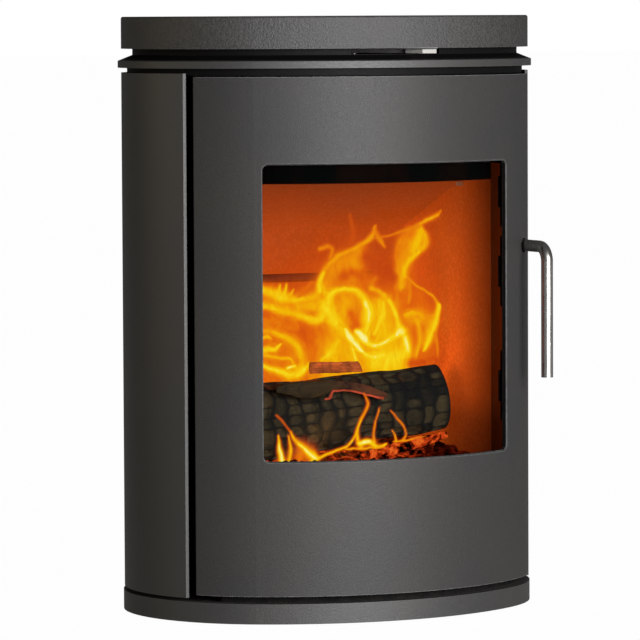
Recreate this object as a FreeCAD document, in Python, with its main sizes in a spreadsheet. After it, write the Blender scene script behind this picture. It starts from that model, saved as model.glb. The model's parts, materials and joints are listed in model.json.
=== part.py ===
import FreeCAD, Part
import math
import os
import re
import Sketcher

# Cast iron wood stove with a curved glass door, in millimetres.
# Front is -Y, +Z is up, z = 0 is the floor and x = 0 is the stove's middle plane.
# Across the stove, y = 0 is the widest line of its oval plan.

os.makedirs("parts", exist_ok=True)
doc = FreeCAD.newDocument("stove")
V = FreeCAD.Vector

sizes = {
    # oval plan: a front arc and two side arcs, tangent, with a flat back
    "body_half_width": 217.5, "side_radius": 150, "front_radius": 278, "back_share": 0.92,
    "overrun": 2, "seat_gap": 0.3, "running_gap": 0.05,
    # base casting
    "base_grow": 1, "base_height": 20.3, "base_deck": 6, "base_rim": 8,
    "foot_boss_radius": 9, "foot_screw_radius": 4, "foot_side_inset": 87.5, "foot_front_inset": 94.2,
    "foot_back_inset": 13, "foot_clearance": 0.5, "foot_slot_depth": 1.5, "foot_slot_width": 1.6,
    # door, from its lower edge over the sill and the window to the head
    "door_lift": 7.3, "door_sill": 135.9, "window_height": 297.1, "door_head": 87.9,
    "door_wall": 6, "door_edge_share": 0.54, "door_edge_round": 2,
    "window_corner": 5.5, "window_bevel": 1.2,
    "gasket_wall": 2.6, "gasket_width": 10, "glass_wall": 4, "glass_lap": 11,
    "clip_wall": 2, "clip_reach": 7, "clip_gap": 0.7, "clip_foot": 6.9, "clip_height": 72,
    "clip_tab_height": 32, "clip_tab_reach": 4, "clip_screw_inset": 2.5,
    "clip_head_radius": 2.4, "clip_head_height": 1.4,
    "rope_wall": 7.4, "rope_width": 8, "rope_edge": 2, "rope_foot": 0.4, "rope_head": 8,
    # hinges
    "hinge_inset": 12.5, "hinge_angle": 38, "pin_radius": 3, "lug_radius": 6, "lug_height": 18,
    "bracket_height": 10, "bracket_arm": 7.85, "hinge_rise": 38.4, "hinge_drop": 30.5,
    "hinge_washer": 1, "pin_head_radius": 5, "pin_head_height": 3, "lug_web": 9,
    # side panels and rear shield
    "panel_lift": 3.7, "panel_rise": 3.5, "panel_wall": 3, "panel_gap": 8.1,
    "bracket_wall": 4, "bracket_width": 22, "bracket_rise": 38, "bracket_drop": 60, "bracket_line": 10,
    "bracket_head_radius": 4.5, "bracket_head_height": 2.5,
    "shield_wall": 3, "shield_hole_margin": 6,
    "vent_count": 7, "vent_width": 10, "vent_height": 60, "vent_pitch": 28, "vent_rise": 46,
    "shield_bush_radius": 6, "shield_bush_inset": 30, "shield_bush_rise": 66, "shield_bush_drop": 37,
    "shield_head_radius": 5, "shield_head_height": 2.5,
    # collar under the top plate
    "collar_gap": 8.5, "collar_grow": 3.5, "lip_height": 7, "slope_height": 6, "slope_inset": 15,
    "neck_height": 4, "collar_inner": 30, "notch_gap": 8, "notch_depth": 3.5,
    "skirt_gap": 1, "skirt_inset": 6, "skirt_wall": 3, "rim_rise": 0.5, "rim_wall": 3, "rim_end": 75,
    "collar_foot_radius": 4, "collar_foot_inset": 117.5, "collar_foot_front_inset": 25,
    # top plate and its cover
    "plate_gap": 2.4, "plate_height": 32.6, "plate_deck": 8, "plate_rim": 9, "plate_round": 2.2,
    "cover_radius": 78, "cover_wall": 5, "cover_gap": 0.6, "cover_ledge": 6, "cover_margin": 5,
    "cover_round": 1, "finger_radius": 9,
    "spacer_radius": 7, "spacer_margin": 22, "spacer_front_inset": 77, "spacer_gap": 9,
    # firebox castings
    "frame_inset": 14, "frame_wall": 6, "fire_sill": 4, "fire_head": 31.4, "ash_box_lap": 4,
    "side_wall": 6, "rear_wall": 6, "rear_gap": 27, "top_wall": 6, "top_drop": 17,
    "top_overhang": 10, "outlet_radius": 60, "outlet_drop": 78,
    "hearth_wall": 8, "hearth_drop": 45.5, "hearth_front_inset": 21,
    "grate_side_inset": 33, "grate_inset": 81.2, "grate_back": 22, "grate_ledge": 5,
    "grate_ledge_height": 4, "grate_gap": 0.4, "grate_slots": 6, "grate_slot_share": 0.386,
    "grate_margin": 10,
    "riddle_wall": 4, "riddle_travel": 12, "riddle_rod_radius": 4, "riddle_rod_inset": 15,
    "riddle_tip_gap": 4.8, "riddle_knob_radius": 7, "riddle_knob_length": 10, "riddle_margin": 8,
    "rail_width": 6, "rail_height": 4,
    # lining
    "lining_wall": 25, "lining_drop": 4.6, "slot_inset": 37.7, "slot_drop": 58, "slot_height": 9,
    "rear_lining_lip": 1.4, "lining_front_inset": 21,
    "baffle_wall": 18, "baffle_inset": 117.2, "baffle_drop": 16, "baffle_fall": 53.4,
    "baffle_rest_wall": 4, "baffle_rest_width": 8,
    "deflector_wall": 3, "deflector_drop": 19.6, "deflector_height": 55,
    "guard_inset": 44, "guard_wall": 6, "guard_height": 29, "guard_side_gap": 4.7,
    "guard_tooth_width": 12, "guard_tooth_depth": 8, "guard_teeth": 7,
    # ash box and pan
    "ash_wall": 2, "ash_side_inset": 50, "ash_box_gap": 1, "ash_box_back": 66,
    "pan_gap": 6, "pan_inset": 6.6, "pan_back_gap": 14, "pan_clearance": 30, "pan_wall": 1.5,
    "pull_half_width": 34, "pull_reach": 15, "pull_radius": 2.5, "pull_rise": 26,
    # flue spigot and blanking plate
    "spigot_wall": 4, "spigot_flange_radius": 74, "spigot_flange_wall": 5, "spigot_out": 62,
    "blank_margin": 10, "blank_wall": 5, "blank_screw_inset": 5,
    "blank_head_radius": 4.5, "blank_head_height": 3, "spigot_screw_inset": 5,
    # handle and latch
    "rod_radius": 6.1, "handle_offset": 13, "handle_drop": 89.1, "handle_length": 133.9,
    "handle_reach": 47.5, "handle_bend": 15,
    "bush_radius": 8, "bush_recess": 7.5, "bush_length": 14.5,
    "tongue_wall": 5, "tongue_width": 7, "tongue_reach": 12.2, "tongue_recess": 23.5,
    "latch_nut_radius": 8, "latch_nut_wall": 5, "shaft_tail": 2.7,
    "keeper_lip": 0.6, "keeper_height": 34, "keeper_gap": 0.5,
    # air control
    "air_box_half_width": 70, "air_box_fore": 46, "air_box_aft": 30, "air_box_height": 11,
    "air_box_wall": 2, "valve_radius": 28, "valve_wall": 3, "valve_port_radius": 8,
    "valve_port_offset": 17, "valve_gap": 0.4, "spindle_radius": 4,
    "air_gap": 8, "lever_reach": 1.6, "lever_angle": 17.1, "lever_gap": 0.5,
    "lever_wall": 4, "lever_width": 12, "lever_tab_width": 20, "lever_tab_length": 24,
}

sheet = doc.addObject("Spreadsheet::Sheet", "Sizes")
for row, (alias, value) in enumerate(sizes.items(), start=1):
    sheet.set(f"A{row}", alias)
    sheet.set(f"B{row}", str(value))
    sheet.setAlias(f"B{row}", alias)
doc.recompute()

# lines, levels and half widths that several pieces share, worked out from the sizes
places = {
    # plan of the outer walls
    "side_centre": "body_half_width - side_radius",
    "arc_step": "front_radius - side_radius",
    "front_centre": "sqrt(arc_step^2 - side_centre^2)",
    "front_line": "front_radius - front_centre",
    "back_line": "side_radius * back_share",
    "door_edge_line": "side_radius * door_edge_share",
    "panel_edge_line": "door_edge_line - panel_gap",
    "shield_front": "back_line - shield_wall",
    "shield_half": "side_centre + sqrt(side_radius^2 - back_line^2) - seat_gap",
    "far": "body_half_width + front_radius",
    # levels from the floor up
    "door_bottom": "base_height + door_lift",
    "window_bottom": "door_bottom + door_sill",
    "window_top": "window_bottom + window_height",
    "door_top": "window_top + door_head",
    "panel_bottom": "base_height + panel_lift",
    "panel_top": "door_top + panel_rise",
    "collar_bottom": "door_top + collar_gap",
    "collar_top": "collar_bottom + lip_height + slope_height + neck_height",
    "plate_bottom": "collar_top + plate_gap",
    "rim_top": "plate_bottom + rim_rise",
    "skirt_bottom": "door_top + skirt_gap",
    "plate_top": "plate_bottom + plate_height",
    "top_top": "collar_bottom - top_drop",
    "top_level": "top_top - top_wall",
    "outlet_level": "top_level - outlet_drop",
    "hearth_level": "window_bottom - hearth_drop",
    "hearth_top": "hearth_level + hearth_wall",
    "glass_low": "window_bottom - glass_lap",
    "glass_high": "window_top + glass_lap",
    "fire_bottom": "hearth_top + fire_sill",
    "fire_top": "window_top + fire_head",
    "rope_bottom": "door_bottom + rope_foot",
    "rope_top": "fire_top + rope_head + rope_width",
    "ash_bottom": "rope_bottom + rope_width",
    "pan_top": "hearth_level - pan_clearance",
    "pull_level": "ash_bottom + pull_rise",
    "riddle_top": "hearth_level - seat_gap",
    "riddle_low": "riddle_top - riddle_wall",
    "rod_level": "riddle_low - riddle_rod_radius",
    "hinge_low": "door_bottom + hinge_rise",
    "hinge_high": "door_top - hinge_drop",
    "bracket_low": "panel_bottom + bracket_rise",
    "bracket_high": "panel_top - bracket_drop",
    "vent_low": "panel_bottom + vent_rise",
    "shield_bush_low": "panel_bottom + shield_bush_rise",
    "shield_bush_high": "panel_top - shield_bush_drop",
    "lining_top": "window_top - lining_drop",
    "baffle_front_level": "lining_top - baffle_drop",
    "baffle_rear_level": "baffle_front_level - baffle_fall",
    "rear_lining_top": "baffle_rear_level + rear_lining_lip",
    "slot_low": "rear_lining_top - slot_drop",
    "deflector_bottom": "window_top - deflector_drop",
    "deflector_top": "deflector_bottom + deflector_height",
    "handle_level": "window_top - handle_drop",
    "handle_end": "handle_level - handle_length",
    "lever_level": "collar_top - notch_depth + lever_gap",
    # half widths from the hinge inwards
    "hinge_ring": "side_radius - hinge_inset",
    "hinge_x": "0 - side_centre - hinge_ring * cos(hinge_angle)",
    "hinge_y": "0 - hinge_ring * sin(hinge_angle)",
    "frame_half": "0 - hinge_x - bracket_arm",
    "rope_outer": "frame_half - rope_edge",
    "side_line": "rope_outer - rope_width",
    "side_outer": "side_line + side_wall",
    "fire_half": "side_line - seat_gap",
    "clip_outer": "fire_half - clip_gap",
    "clip_screw_x": "clip_outer - clip_screw_inset",
    "glass_half": "clip_outer - clip_foot",
    "window_half": "glass_half - glass_lap",
    "lining_half": "side_line - seat_gap - lining_wall",
    "slot_half": "lining_half - slot_inset",
    "guard_half": "lining_half - guard_side_gap",
    "ash_box_half": "side_line - ash_side_inset",
    "ash_half": "ash_box_half - ash_box_lap",
    "pan_half": "ash_half - pan_gap",
    "grate_half": "ash_box_half - grate_side_inset",
    "slot_pitch": "(grate_half + grate_half - grate_margin) / grate_slots",
    "grate_slot_width": "slot_pitch * grate_slot_share",
    "riddle_rod_x": "grate_half - riddle_rod_inset",
    "riddle_edge": "riddle_rod_x + riddle_knob_radius",
    "rail_lip": "riddle_rod_x + riddle_rod_radius + seat_gap",
    "bracket_head_x": "side_outer + bracket_wall + bracket_head_height",
    "bracket_reach": "side_centre + sqrt((side_radius - panel_wall)^2 - bracket_back^2) - seat_gap",
    "spigot_radius": "outlet_radius + spigot_wall",
    "blank_circle": "outlet_radius + blank_screw_inset",
    "spigot_circle": "spigot_flange_radius - spigot_screw_inset",
    "spacer_x": "outlet_radius + blank_margin + spacer_margin",
    "shield_bush_x": "shield_half - shield_bush_inset",
    "collar_foot_x": "body_half_width - collar_foot_inset",
    "foot_x": "body_half_width - foot_side_inset",
    "notch_half": "lever_length * sin(lever_angle) + lever_tab_width / 2 + notch_gap",
    # walls that follow the plan, as amounts that it grows by
    "door_inner": "0 - door_wall",
    "gasket_front": "0 - door_wall - seat_gap",
    "glass_front": "gasket_front - gasket_wall - seat_gap",
    "glass_back": "glass_front - glass_wall",
    "clip_front": "glass_back - seat_gap",
    "rope_front": "0 - door_wall - seat_gap",
    "rope_back": "rope_front - rope_wall",
    "frame_front": "0 - frame_inset",
    "frame_back": "0 - frame_inset - frame_wall",
    "behind_frame": "frame_back - seat_gap",
    # lines along the depth
    "rear_outer": "shield_front - rear_gap",
    "rear_line": "rear_outer - rear_wall",
    "lining_back": "rear_line - seat_gap",
    "rear_lining_face": "lining_back - lining_wall",
    "cover_line": "back_line - plate_rim - cover_radius - cover_margin",
    "foot_front_y": "front_line - foot_front_inset",
    "foot_back_y": "rear_outer - foot_back_inset",
    "bracket_back": "bracket_line + bracket_width",
    "spacer_front_y": "front_line - spacer_front_inset",
    "spacer_back_y": "back_line - collar_inner - spacer_radius - spacer_gap",
    "collar_foot_back": "rear_outer + top_overhang / 2",
    "spigot_reach": "back_line + spigot_out",
    "grate_front": "front_line - grate_inset",
    "baffle_front": "front_line - baffle_inset",
    "riddle_tip": "sqrt((front_radius + door_inner)^2 - riddle_edge^2) - front_centre - riddle_tip_gap",
    "ash_box_front": "sqrt((front_radius + frame_back)^2 - ash_box_half^2) - front_centre - ash_box_gap",
    "pan_front": "ash_box_front - pan_inset",
    "pan_back": "ash_box_back - pan_back_gap",
    "air_box_back": "outlet_radius + blank_margin - cover_line + air_gap",
    "pivot_line": "air_box_back + air_box_aft",
    "air_box_front": "pivot_line + air_box_fore",
    "lever_length": "front_line + lever_reach - pivot_line",
    "handle_x": "side_outer + handle_offset",
    "handle_face": "sqrt(side_radius^2 - (handle_x - side_centre)^2)",
    "handle_line": "handle_face + handle_reach",
    "bush_front": "handle_face - bush_recess",
    "bush_back": "bush_front - bush_length",
    "tongue_line": "handle_face - tongue_recess",
    "tongue_back": "tongue_wall - tongue_line",
    "shaft_end": "tongue_line - tongue_wall - seat_gap - latch_nut_wall - shaft_tail",
    # the finished stove stands with the middle of its depth, spigot and all, on y = 0
    "depth_shift": "(front_line + collar_grow - spigot_reach) / 2",
}

nodes = []


# an expression with every size name pointing at the sheet and every place worked out
def ex(text):
    def spell(match):
        name = match[0]
        if name in places:
            return f"({ex(places[name])})"
        return f"Sizes.{name}" if name in sizes else name
    return re.sub(r"[a-z_]+[a-z0-9_]*", spell, str(text))


def num(text):
    value = sheet.evalExpression(ex(text))
    return float(getattr(value, "Value", value))


def bind(item, **exprs):
    for name, text in exprs.items():
        item.setExpression(name.replace("__", "."), ex(text))
    return item


# a finished sub-part; y is its own place along the depth before the shift
def node(item, label, y="0"):
    item.Label = label
    nodes.append(item)
    return bind(item, Placement__Base__y=f"depth_shift + {y}")


# plain solids and booleans
def block(x0, x1, y0, y1, z0, z1):
    item = doc.addObject("Part::Box", "block")
    bind(item, Length=f"({x1}) - ({x0})", Width=f"({y1}) - ({y0})", Height=f"({z1}) - ({z0})")
    return bind(item, Placement__Base__x=x0, Placement__Base__y=y0, Placement__Base__z=z0)


# a block on the right side, or its mirror on the left
def sided_block(sign, x0, x1, *rest):
    if sign < 0:
        x0, x1 = f"0 - ({x1})", f"0 - ({x0})"
    return block(x0, x1, *rest)


turns = {"x": FreeCAD.Rotation(V(0, 1, 0), 90), "y": FreeCAD.Rotation(V(1, 0, 0), -90),
    "z": FreeCAD.Rotation()}


def rod(axis, x, y, z, radius, length):
    item = doc.addObject("Part::Cylinder", "rod")
    item.Placement = FreeCAD.Placement(V(), turns[axis])
    bind(item, Radius=radius, Height=length)
    return bind(item, Placement__Base__x=x, Placement__Base__y=y, Placement__Base__z=z)


def fuse(*shapes):
    item = doc.addObject("Part::MultiFuse", "fuse")
    item.Shapes = list(shapes)
    return item


def cut(base, *tools):
    item = doc.addObject("Part::Cut", "cut")
    item.Base = base
    item.Tool = tools[0] if len(tools) == 1 else fuse(*tools)
    return item


def common(*shapes):
    item = doc.addObject("Part::MultiCommon", "common")
    item.Shapes = list(shapes)
    return item


def group(*shapes):
    item = doc.addObject("Part::Compound", "group")
    item.Links = list(shapes)
    return item


# bodies and their sketches
def new_body(name):
    return doc.addObject("PartDesign::Body", name)


def new_sketch(body, role, offset="0"):
    sketch = body.newObject("Sketcher::SketchObject", "Sketch")
    plane = next(item for item in body.Origin.OriginFeatures if item.Role == role)
    sketch.AttachmentSupport = (plane, "")
    sketch.MapMode = "FlatFace"
    sketch.setExpression("AttachmentOffset.Base.z", ex(offset))
    return sketch


def limit(sketch, kind, *args):
    text = args[-1]
    index = sketch.addConstraint(Sketcher.Constraint(kind, *args[:-1], num(text)))
    sketch.setExpression(f"Constraints[{index}]", ex(text))


def tie(sketch, kind, *args):
    sketch.addConstraint(Sketcher.Constraint(kind, *args))


# the stove's plan, grown outwards by one amount
def draw_oval(sketch, grow):
    cx = num("side_centre")
    cy = num("front_centre")
    side_r = num(f"side_radius + {grow}")
    front_r = num(f"front_radius + {grow}")
    back = num(f"back_line + {grow}")
    lean = math.asin(cx / num("arc_step"))
    rise = math.asin(back / side_r)
    down = -math.pi / 2
    half_turn = math.pi
    front = Part.ArcOfCircle(Part.Circle(V(0, cy), V(0, 0, 1), front_r), down - lean, down + lean)
    right = Part.ArcOfCircle(Part.Circle(V(cx, 0), V(0, 0, 1), side_r), down + lean, rise)
    left = Part.ArcOfCircle(Part.Circle(V(-cx, 0), V(0, 0, 1), side_r), half_turn - rise,
        half_turn + half_turn + down - lean)
    end = cx + side_r * math.cos(rise)
    line = Part.LineSegment(V(end, back), V(-end, back))
    f, r, b, l = sketch.addGeometry([front, right, line, left], False)
    tie(sketch, "Tangent", f, 2, r, 1)
    tie(sketch, "Coincident", r, 2, b, 1)
    tie(sketch, "Coincident", b, 2, l, 1)
    tie(sketch, "Tangent", l, 2, f, 1)
    tie(sketch, "PointOnObject", r, 3, -1)
    tie(sketch, "PointOnObject", l, 3, -1)
    tie(sketch, "Horizontal", b)
    limit(sketch, "DistanceX", -1, 1, r, 3, "side_centre")
    limit(sketch, "DistanceX", l, 3, -1, 1, "side_centre")
    limit(sketch, "Radius", f, f"front_radius + {grow}")
    limit(sketch, "Radius", r, f"side_radius + {grow}")
    limit(sketch, "Radius", l, f"side_radius + {grow}")
    limit(sketch, "DistanceY", -1, 1, b, 1, f"back_line + {grow}")


# a rectangle across the middle plane, its corners square
def draw_rectangle(sketch, x0, x1, y0, y1):
    left, right, low, high = num(x0), num(x1), num(y0), num(y1)
    corners = [V(left, low), V(right, low), V(right, high), V(left, high)]
    lines = [Part.LineSegment(corners[i], corners[(i + 1) % 4]) for i in range(4)]
    first = sketch.addGeometry(lines, False)[0]
    for i in range(4):
        tie(sketch, "Coincident", first + i, 2, first + (i + 1) % 4, 1)
        tie(sketch, "Horizontal" if i % 2 == 0 else "Vertical", first + i)
    limit(sketch, "DistanceX", -1, 1, first, 1, x0)
    limit(sketch, "DistanceX", -1, 1, first, 2, x1)
    limit(sketch, "DistanceY", -1, 1, first, 2, y0)
    limit(sketch, "DistanceY", -1, 1, first + 2, 1, y1)


def pad(body, sketch, length, tip="PartDesign::Pad"):
    item = body.newObject(tip, "Pad" if tip.endswith("Pad") else "Pocket")
    item.Profile = sketch
    item.setExpression("Length", ex(length))
    sketch.Visibility = False
    return item


# a wall that follows the plan, or a full slab where it has no inner line
def oval_body(name, z0, z1, grow, inner=None):
    body = new_body(name)
    sketch = new_sketch(body, "XY_Plane", z0)
    draw_oval(sketch, grow)
    if inner is not None:
        draw_oval(sketch, inner)
    pad(body, sketch, f"({z1}) - ({z0})")
    return body


# a cutting pocket through the front, drawn on the upright middle plane
def front_pocket(body, draw):
    sketch = new_sketch(body, "XZ_Plane")
    draw(sketch)
    item = pad(body, sketch, "front_line + overrun", "PartDesign::Pocket")
    item.Reversed = True
    return item


def edges_where(shape, test):
    return [f"Edge{i + 1}" for i, edge in enumerate(shape.Edges) if test(edge)]


def dress(body, kind, test, size):
    doc.recompute()
    base = body.Tip
    item = body.newObject(f"PartDesign::{kind}", kind)
    item.Base = (base, edges_where(base.Shape, test))
    item.setExpression("Radius" if kind == "Fillet" else "Size", ex(size))
    return item


def near(a, b):
    return math.isclose(a, b, abs_tol=sizes["running_gap"] / 1000)


def level_edge(z):
    level = num(z)
    return lambda edge: near(edge.BoundBox.ZMin, level) and near(edge.BoundBox.ZMax, level)


# Base casting: a deck on a rim, hollow below, with four bosses for levelling screws
base_body = oval_body("base_body", "0", "base_height", "base_grow")
hollow = new_sketch(base_body, "XY_Plane", "base_height - base_deck")
draw_oval(hollow, "base_grow - base_rim")
pad(base_body, hollow, "base_height - base_deck", "PartDesign::Pocket")
foot_places = [(side, y) for side in ("foot_x", "(0 - foot_x)")
    for y in ("(0 - foot_front_y)", "foot_back_y")]
bosses = [rod("z", x, y, "foot_clearance", "foot_boss_radius",
    "base_height - base_deck - foot_clearance + overrun") for x, y in foot_places]
bores = [rod("z", x, y, "0 - overrun", "foot_screw_radius + running_gap",
    "base_height + overrun + overrun") for x, y in foot_places]
node(cut(fuse(base_body, *bosses), *bores), "base_plate")

foot_top = "base_height - seat_gap"
foot_shafts = [rod("z", x, y, "foot_clearance", "foot_screw_radius", f"{foot_top} - foot_clearance")
    for x, y in foot_places]
foot_slots = [block(f"{x} - foot_screw_radius - overrun", f"{x} + foot_screw_radius + overrun",
    f"{y} - foot_slot_width / 2", f"{y} + foot_slot_width / 2", f"{foot_top} - foot_slot_depth",
    "base_height + overrun") for x, y in foot_places]
node(group(*[cut(shaft, slot) for shaft, slot in zip(foot_shafts, foot_slots)]), "levelling_screws")

# Door casting: a curved plate with a window, two hinge lugs and a hole for the handle's bush
door_body = oval_body("door_body", "door_bottom", "door_top", "0", "door_inner")


def draw_window(sketch):
    w, r = num("window_half"), num("window_corner")
    low, high = num("window_bottom"), num("window_top")
    quarter = math.pi / 2
    sides = [(V(-w + r, low), V(w - r, low)), (V(w, low + r), V(w, high - r)),
        (V(w - r, high), V(-w + r, high)), (V(-w, high - r), V(-w, low + r))]
    centres = [V(w - r, low + r), V(w - r, high - r), V(-w + r, high - r), V(-w + r, low + r)]
    lines = sketch.addGeometry([Part.LineSegment(a, b) for a, b in sides], False)
    arcs = sketch.addGeometry([Part.ArcOfCircle(Part.Circle(c, V(0, 0, 1), r), (i - 1) * quarter,
        i * quarter) for i, c in enumerate(centres)], False)
    for i in range(4):
        tie(sketch, "Tangent", lines[i], 2, arcs[i], 1)
        tie(sketch, "Tangent", arcs[i], 2, lines[(i + 1) % 4], 1)
        tie(sketch, "Horizontal" if i % 2 == 0 else "Vertical", lines[i])
        if i:
            tie(sketch, "Equal", arcs[0], arcs[i])
    limit(sketch, "Radius", arcs[0], "window_corner")
    limit(sketch, "DistanceX", -1, 1, lines[1], 1, "window_half")
    limit(sketch, "DistanceX", lines[3], 1, -1, 1, "window_half")
    limit(sketch, "DistanceY", -1, 1, lines[0], 1, "window_bottom")
    limit(sketch, "DistanceY", -1, 1, lines[2], 1, "window_top")


back_cut = new_sketch(door_body, "XY_Plane", "door_top + overrun")
draw_rectangle(back_cut, "0 - far", "far", "0 - door_edge_line", "far")
pad(door_body, back_cut, "door_top - door_bottom + overrun + overrun", "PartDesign::Pocket")
front_pocket(door_body, draw_window)
outer_rim = num("window_half") + num("window_bevel")


# the outer rim of the window, whose edges lie on the front face of the plate
def on_face(point, grow):
    cx, cy = num("side_centre"), num("front_centre")
    lean = cx / num("arc_step")
    if abs(point.x) <= (num("front_radius") + grow) * lean + num("running_gap"):
        return near(math.hypot(point.x, point.y - cy), num("front_radius") + grow)
    return near(math.hypot(abs(point.x) - cx, point.y), num("side_radius") + grow)


def window_edge(edge):
    box = edge.BoundBox
    inside = box.ZMin > num("door_bottom + door_wall") and box.ZMax < num("door_top - door_wall")
    inside = inside and box.XMin > -outer_rim and box.XMax < outer_rim
    return inside and all(on_face(v.Point, 0) for v in edge.Vertexes)


def door_edge(edge):
    box = edge.BoundBox
    tall = box.ZMax - box.ZMin > num("door_top - door_bottom") - num("door_wall")
    return tall and all(on_face(v.Point, 0) for v in edge.Vertexes) and near(box.YMin,
        -num("door_edge_line"))


dress(door_body, "Chamfer", window_edge, "window_bevel")
dress(door_body, "Fillet", door_edge, "door_edge_round")

hinge_levels = ["hinge_low", "hinge_high"]
lug_base = "hinge_washer + seat_gap"
lugs = []
for level in hinge_levels:
    lugs.append(rod("z", "hinge_x", "hinge_y", f"{level} + {lug_base}", "lug_radius", "lug_height"))
    web = block("hinge_x - lug_web", "hinge_x + lug_radius / 2", "hinge_y - lug_web", "hinge_y",
        f"{level} + {lug_base}", f"{level} + {lug_base} + lug_height")
    lugs.append(web)
pin_bores = [rod("z", "hinge_x", "hinge_y", f"{level} + {lug_base} - overrun", "pin_radius + running_gap",
    "lug_height + overrun + overrun") for level in hinge_levels]
door_envelope = oval_body("door_envelope", "door_bottom", "door_top", "0 - door_wall / 2")
lug_shapes = common(fuse(*lugs), door_envelope)
bush_hole = rod("y", "handle_x", "0 - front_line", "handle_level", "bush_radius + running_gap",
    "front_line")
node(cut(fuse(door_body, lug_shapes), bush_hole, *pin_bores), "door_shell")

# Hinge brackets on the front frame, with their pins and washers
for name, level in zip(("lower", "upper"), hinge_levels):
    eye = rod("z", "hinge_x", "hinge_y", f"{level} - bracket_height", "lug_radius", "bracket_height")
    arm = block("hinge_x", "0 - frame_half", "hinge_y - lug_radius / 2", "hinge_y + lug_radius / 2",
        f"{level} - bracket_height", level)
    bore = rod("z", "hinge_x", "hinge_y", f"{level} - bracket_height - overrun", "pin_radius",
        "bracket_height + overrun + overrun")
    node(cut(fuse(eye, arm), bore), f"hinge_bracket_{name}")
pins = []
washers = []
for level in hinge_levels:
    shank = rod("z", "hinge_x", "hinge_y", f"{level} - bracket_height", "pin_radius",
        f"bracket_height + {lug_base} + lug_height")
    head = rod("z", "hinge_x", "hinge_y", f"{level} - bracket_height - pin_head_height",
        "pin_head_radius", "pin_head_height")
    pins.append(fuse(shank, head))
    ring = rod("z", "hinge_x", "hinge_y", level, "pin_head_radius", "hinge_washer")
    hole = rod("z", "hinge_x", "hinge_y", f"{level} - overrun", "pin_radius + running_gap",
        "hinge_washer + overrun + overrun")
    washers.append(cut(ring, hole))
node(group(*pins), "hinge_pins")
node(group(*washers), "hinge_washers")

# Glass, its tape gasket, clips and screws
glass_pane = oval_body("glass_pane", "glass_low", "glass_high", "glass_front", "glass_back")
node(common(glass_pane, block("0 - glass_half", "glass_half", "0 - front_line", "0", "glass_low",
    "glass_high")), "door_glass")
tape = oval_body("tape", "glass_low", "glass_high", "gasket_front", "gasket_front - gasket_wall")
tape_outer = block("0 - glass_half", "glass_half", "0 - front_line", "0", "glass_low", "glass_high")
tape_inner = block("gasket_width - glass_half", "glass_half - gasket_width", "0 - front_line - overrun",
    "0", "glass_low + gasket_width", "glass_high - gasket_width")
node(cut(common(tape, tape_outer), tape_inner), "glass_gasket")

clip_band = oval_body("clip_band", "glass_low", "glass_high", "clip_front", "clip_front - clip_wall")
clip_spacer_band = oval_body("clip_spacer_band", "glass_low", "glass_high", "gasket_front", "clip_front")
clip_shares = (0.614, 0.217, 0.89)
clip_levels = [f"(window_bottom + window_height * {share})" for share in clip_shares]
clips = []
for level in clip_levels:
    clip_z = (f"{level} - clip_height / 2", f"{level} + clip_height / 2")
    tab_z = (f"{level} - clip_tab_height / 2", f"{level} + clip_tab_height / 2")
    for sign in (1, -1):
        strip = sided_block(sign, "window_half + clip_reach - clip_tab_reach / 2", "clip_outer",
            "0 - front_line", "0", *clip_z)
        tab = sided_block(sign, "window_half + clip_reach - clip_tab_reach - clip_tab_reach / 2",
            "clip_outer", "0 - front_line", "0", *tab_z)
        foot = sided_block(sign, "glass_half + seat_gap", "clip_outer", "0 - front_line", "0", *tab_z)
        clips.append(fuse(common(clip_band, fuse(strip, tab)), common(clip_spacer_band, foot)))
node(group(*clips), "glass_clips")


# a screw head on the side arc, its axis square to the plan
def side_screw(sign, level):
    ring = num("side_radius + clip_front - clip_wall - running_gap")
    lean = math.acos((num("clip_screw_x") - num("side_centre")) / ring)
    item = doc.addObject("Part::Cylinder", "screw")
    item.Placement = FreeCAD.Placement(V(), FreeCAD.Rotation(V(0, 0, 1),
        V(-sign * math.cos(lean), math.sin(lean), 0)))
    bind(item, Radius="clip_head_radius", Height="clip_head_height")
    drop = "sqrt((side_radius + clip_front - clip_wall - running_gap)^2 - (clip_screw_x - side_centre)^2)"
    return bind(item, Placement__Base__x=f"{sign} * clip_screw_x", Placement__Base__y=f"0 - {drop}",
        Placement__Base__z=level)


node(group(*[side_screw(sign, level) for level in clip_levels for sign in (1, -1)]), "glass_clip_screws")

# Rope seal round the back of the door
rope_band = oval_body("rope_band", "rope_bottom", "rope_top", "rope_front", "rope_back")
rope_outer_box = block("0 - rope_outer", "rope_outer", "0 - front_line", "0", "rope_bottom", "rope_top")
rope_inner_box = block("rope_width - rope_outer", "rope_outer - rope_width", "0 - front_line - overrun",
    "0", "rope_bottom + rope_width", "rope_top - rope_width")
node(cut(common(rope_band, rope_outer_box), rope_inner_box), "door_rope_seal")

# Side panels: curved sheets from the door's edge round to the back
for name, low_x, high_x in (("left", "0 - far", "0"), ("right", "0", "far")):
    sheet_body = oval_body(f"panel_{name}", "panel_bottom", "panel_top", "0", "0 - panel_wall")
    keep = block(low_x, high_x, "0 - panel_edge_line", "shield_front - seat_gap", "panel_bottom",
        "panel_top")
    node(common(sheet_body, keep), f"side_panel_{name}")

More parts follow.
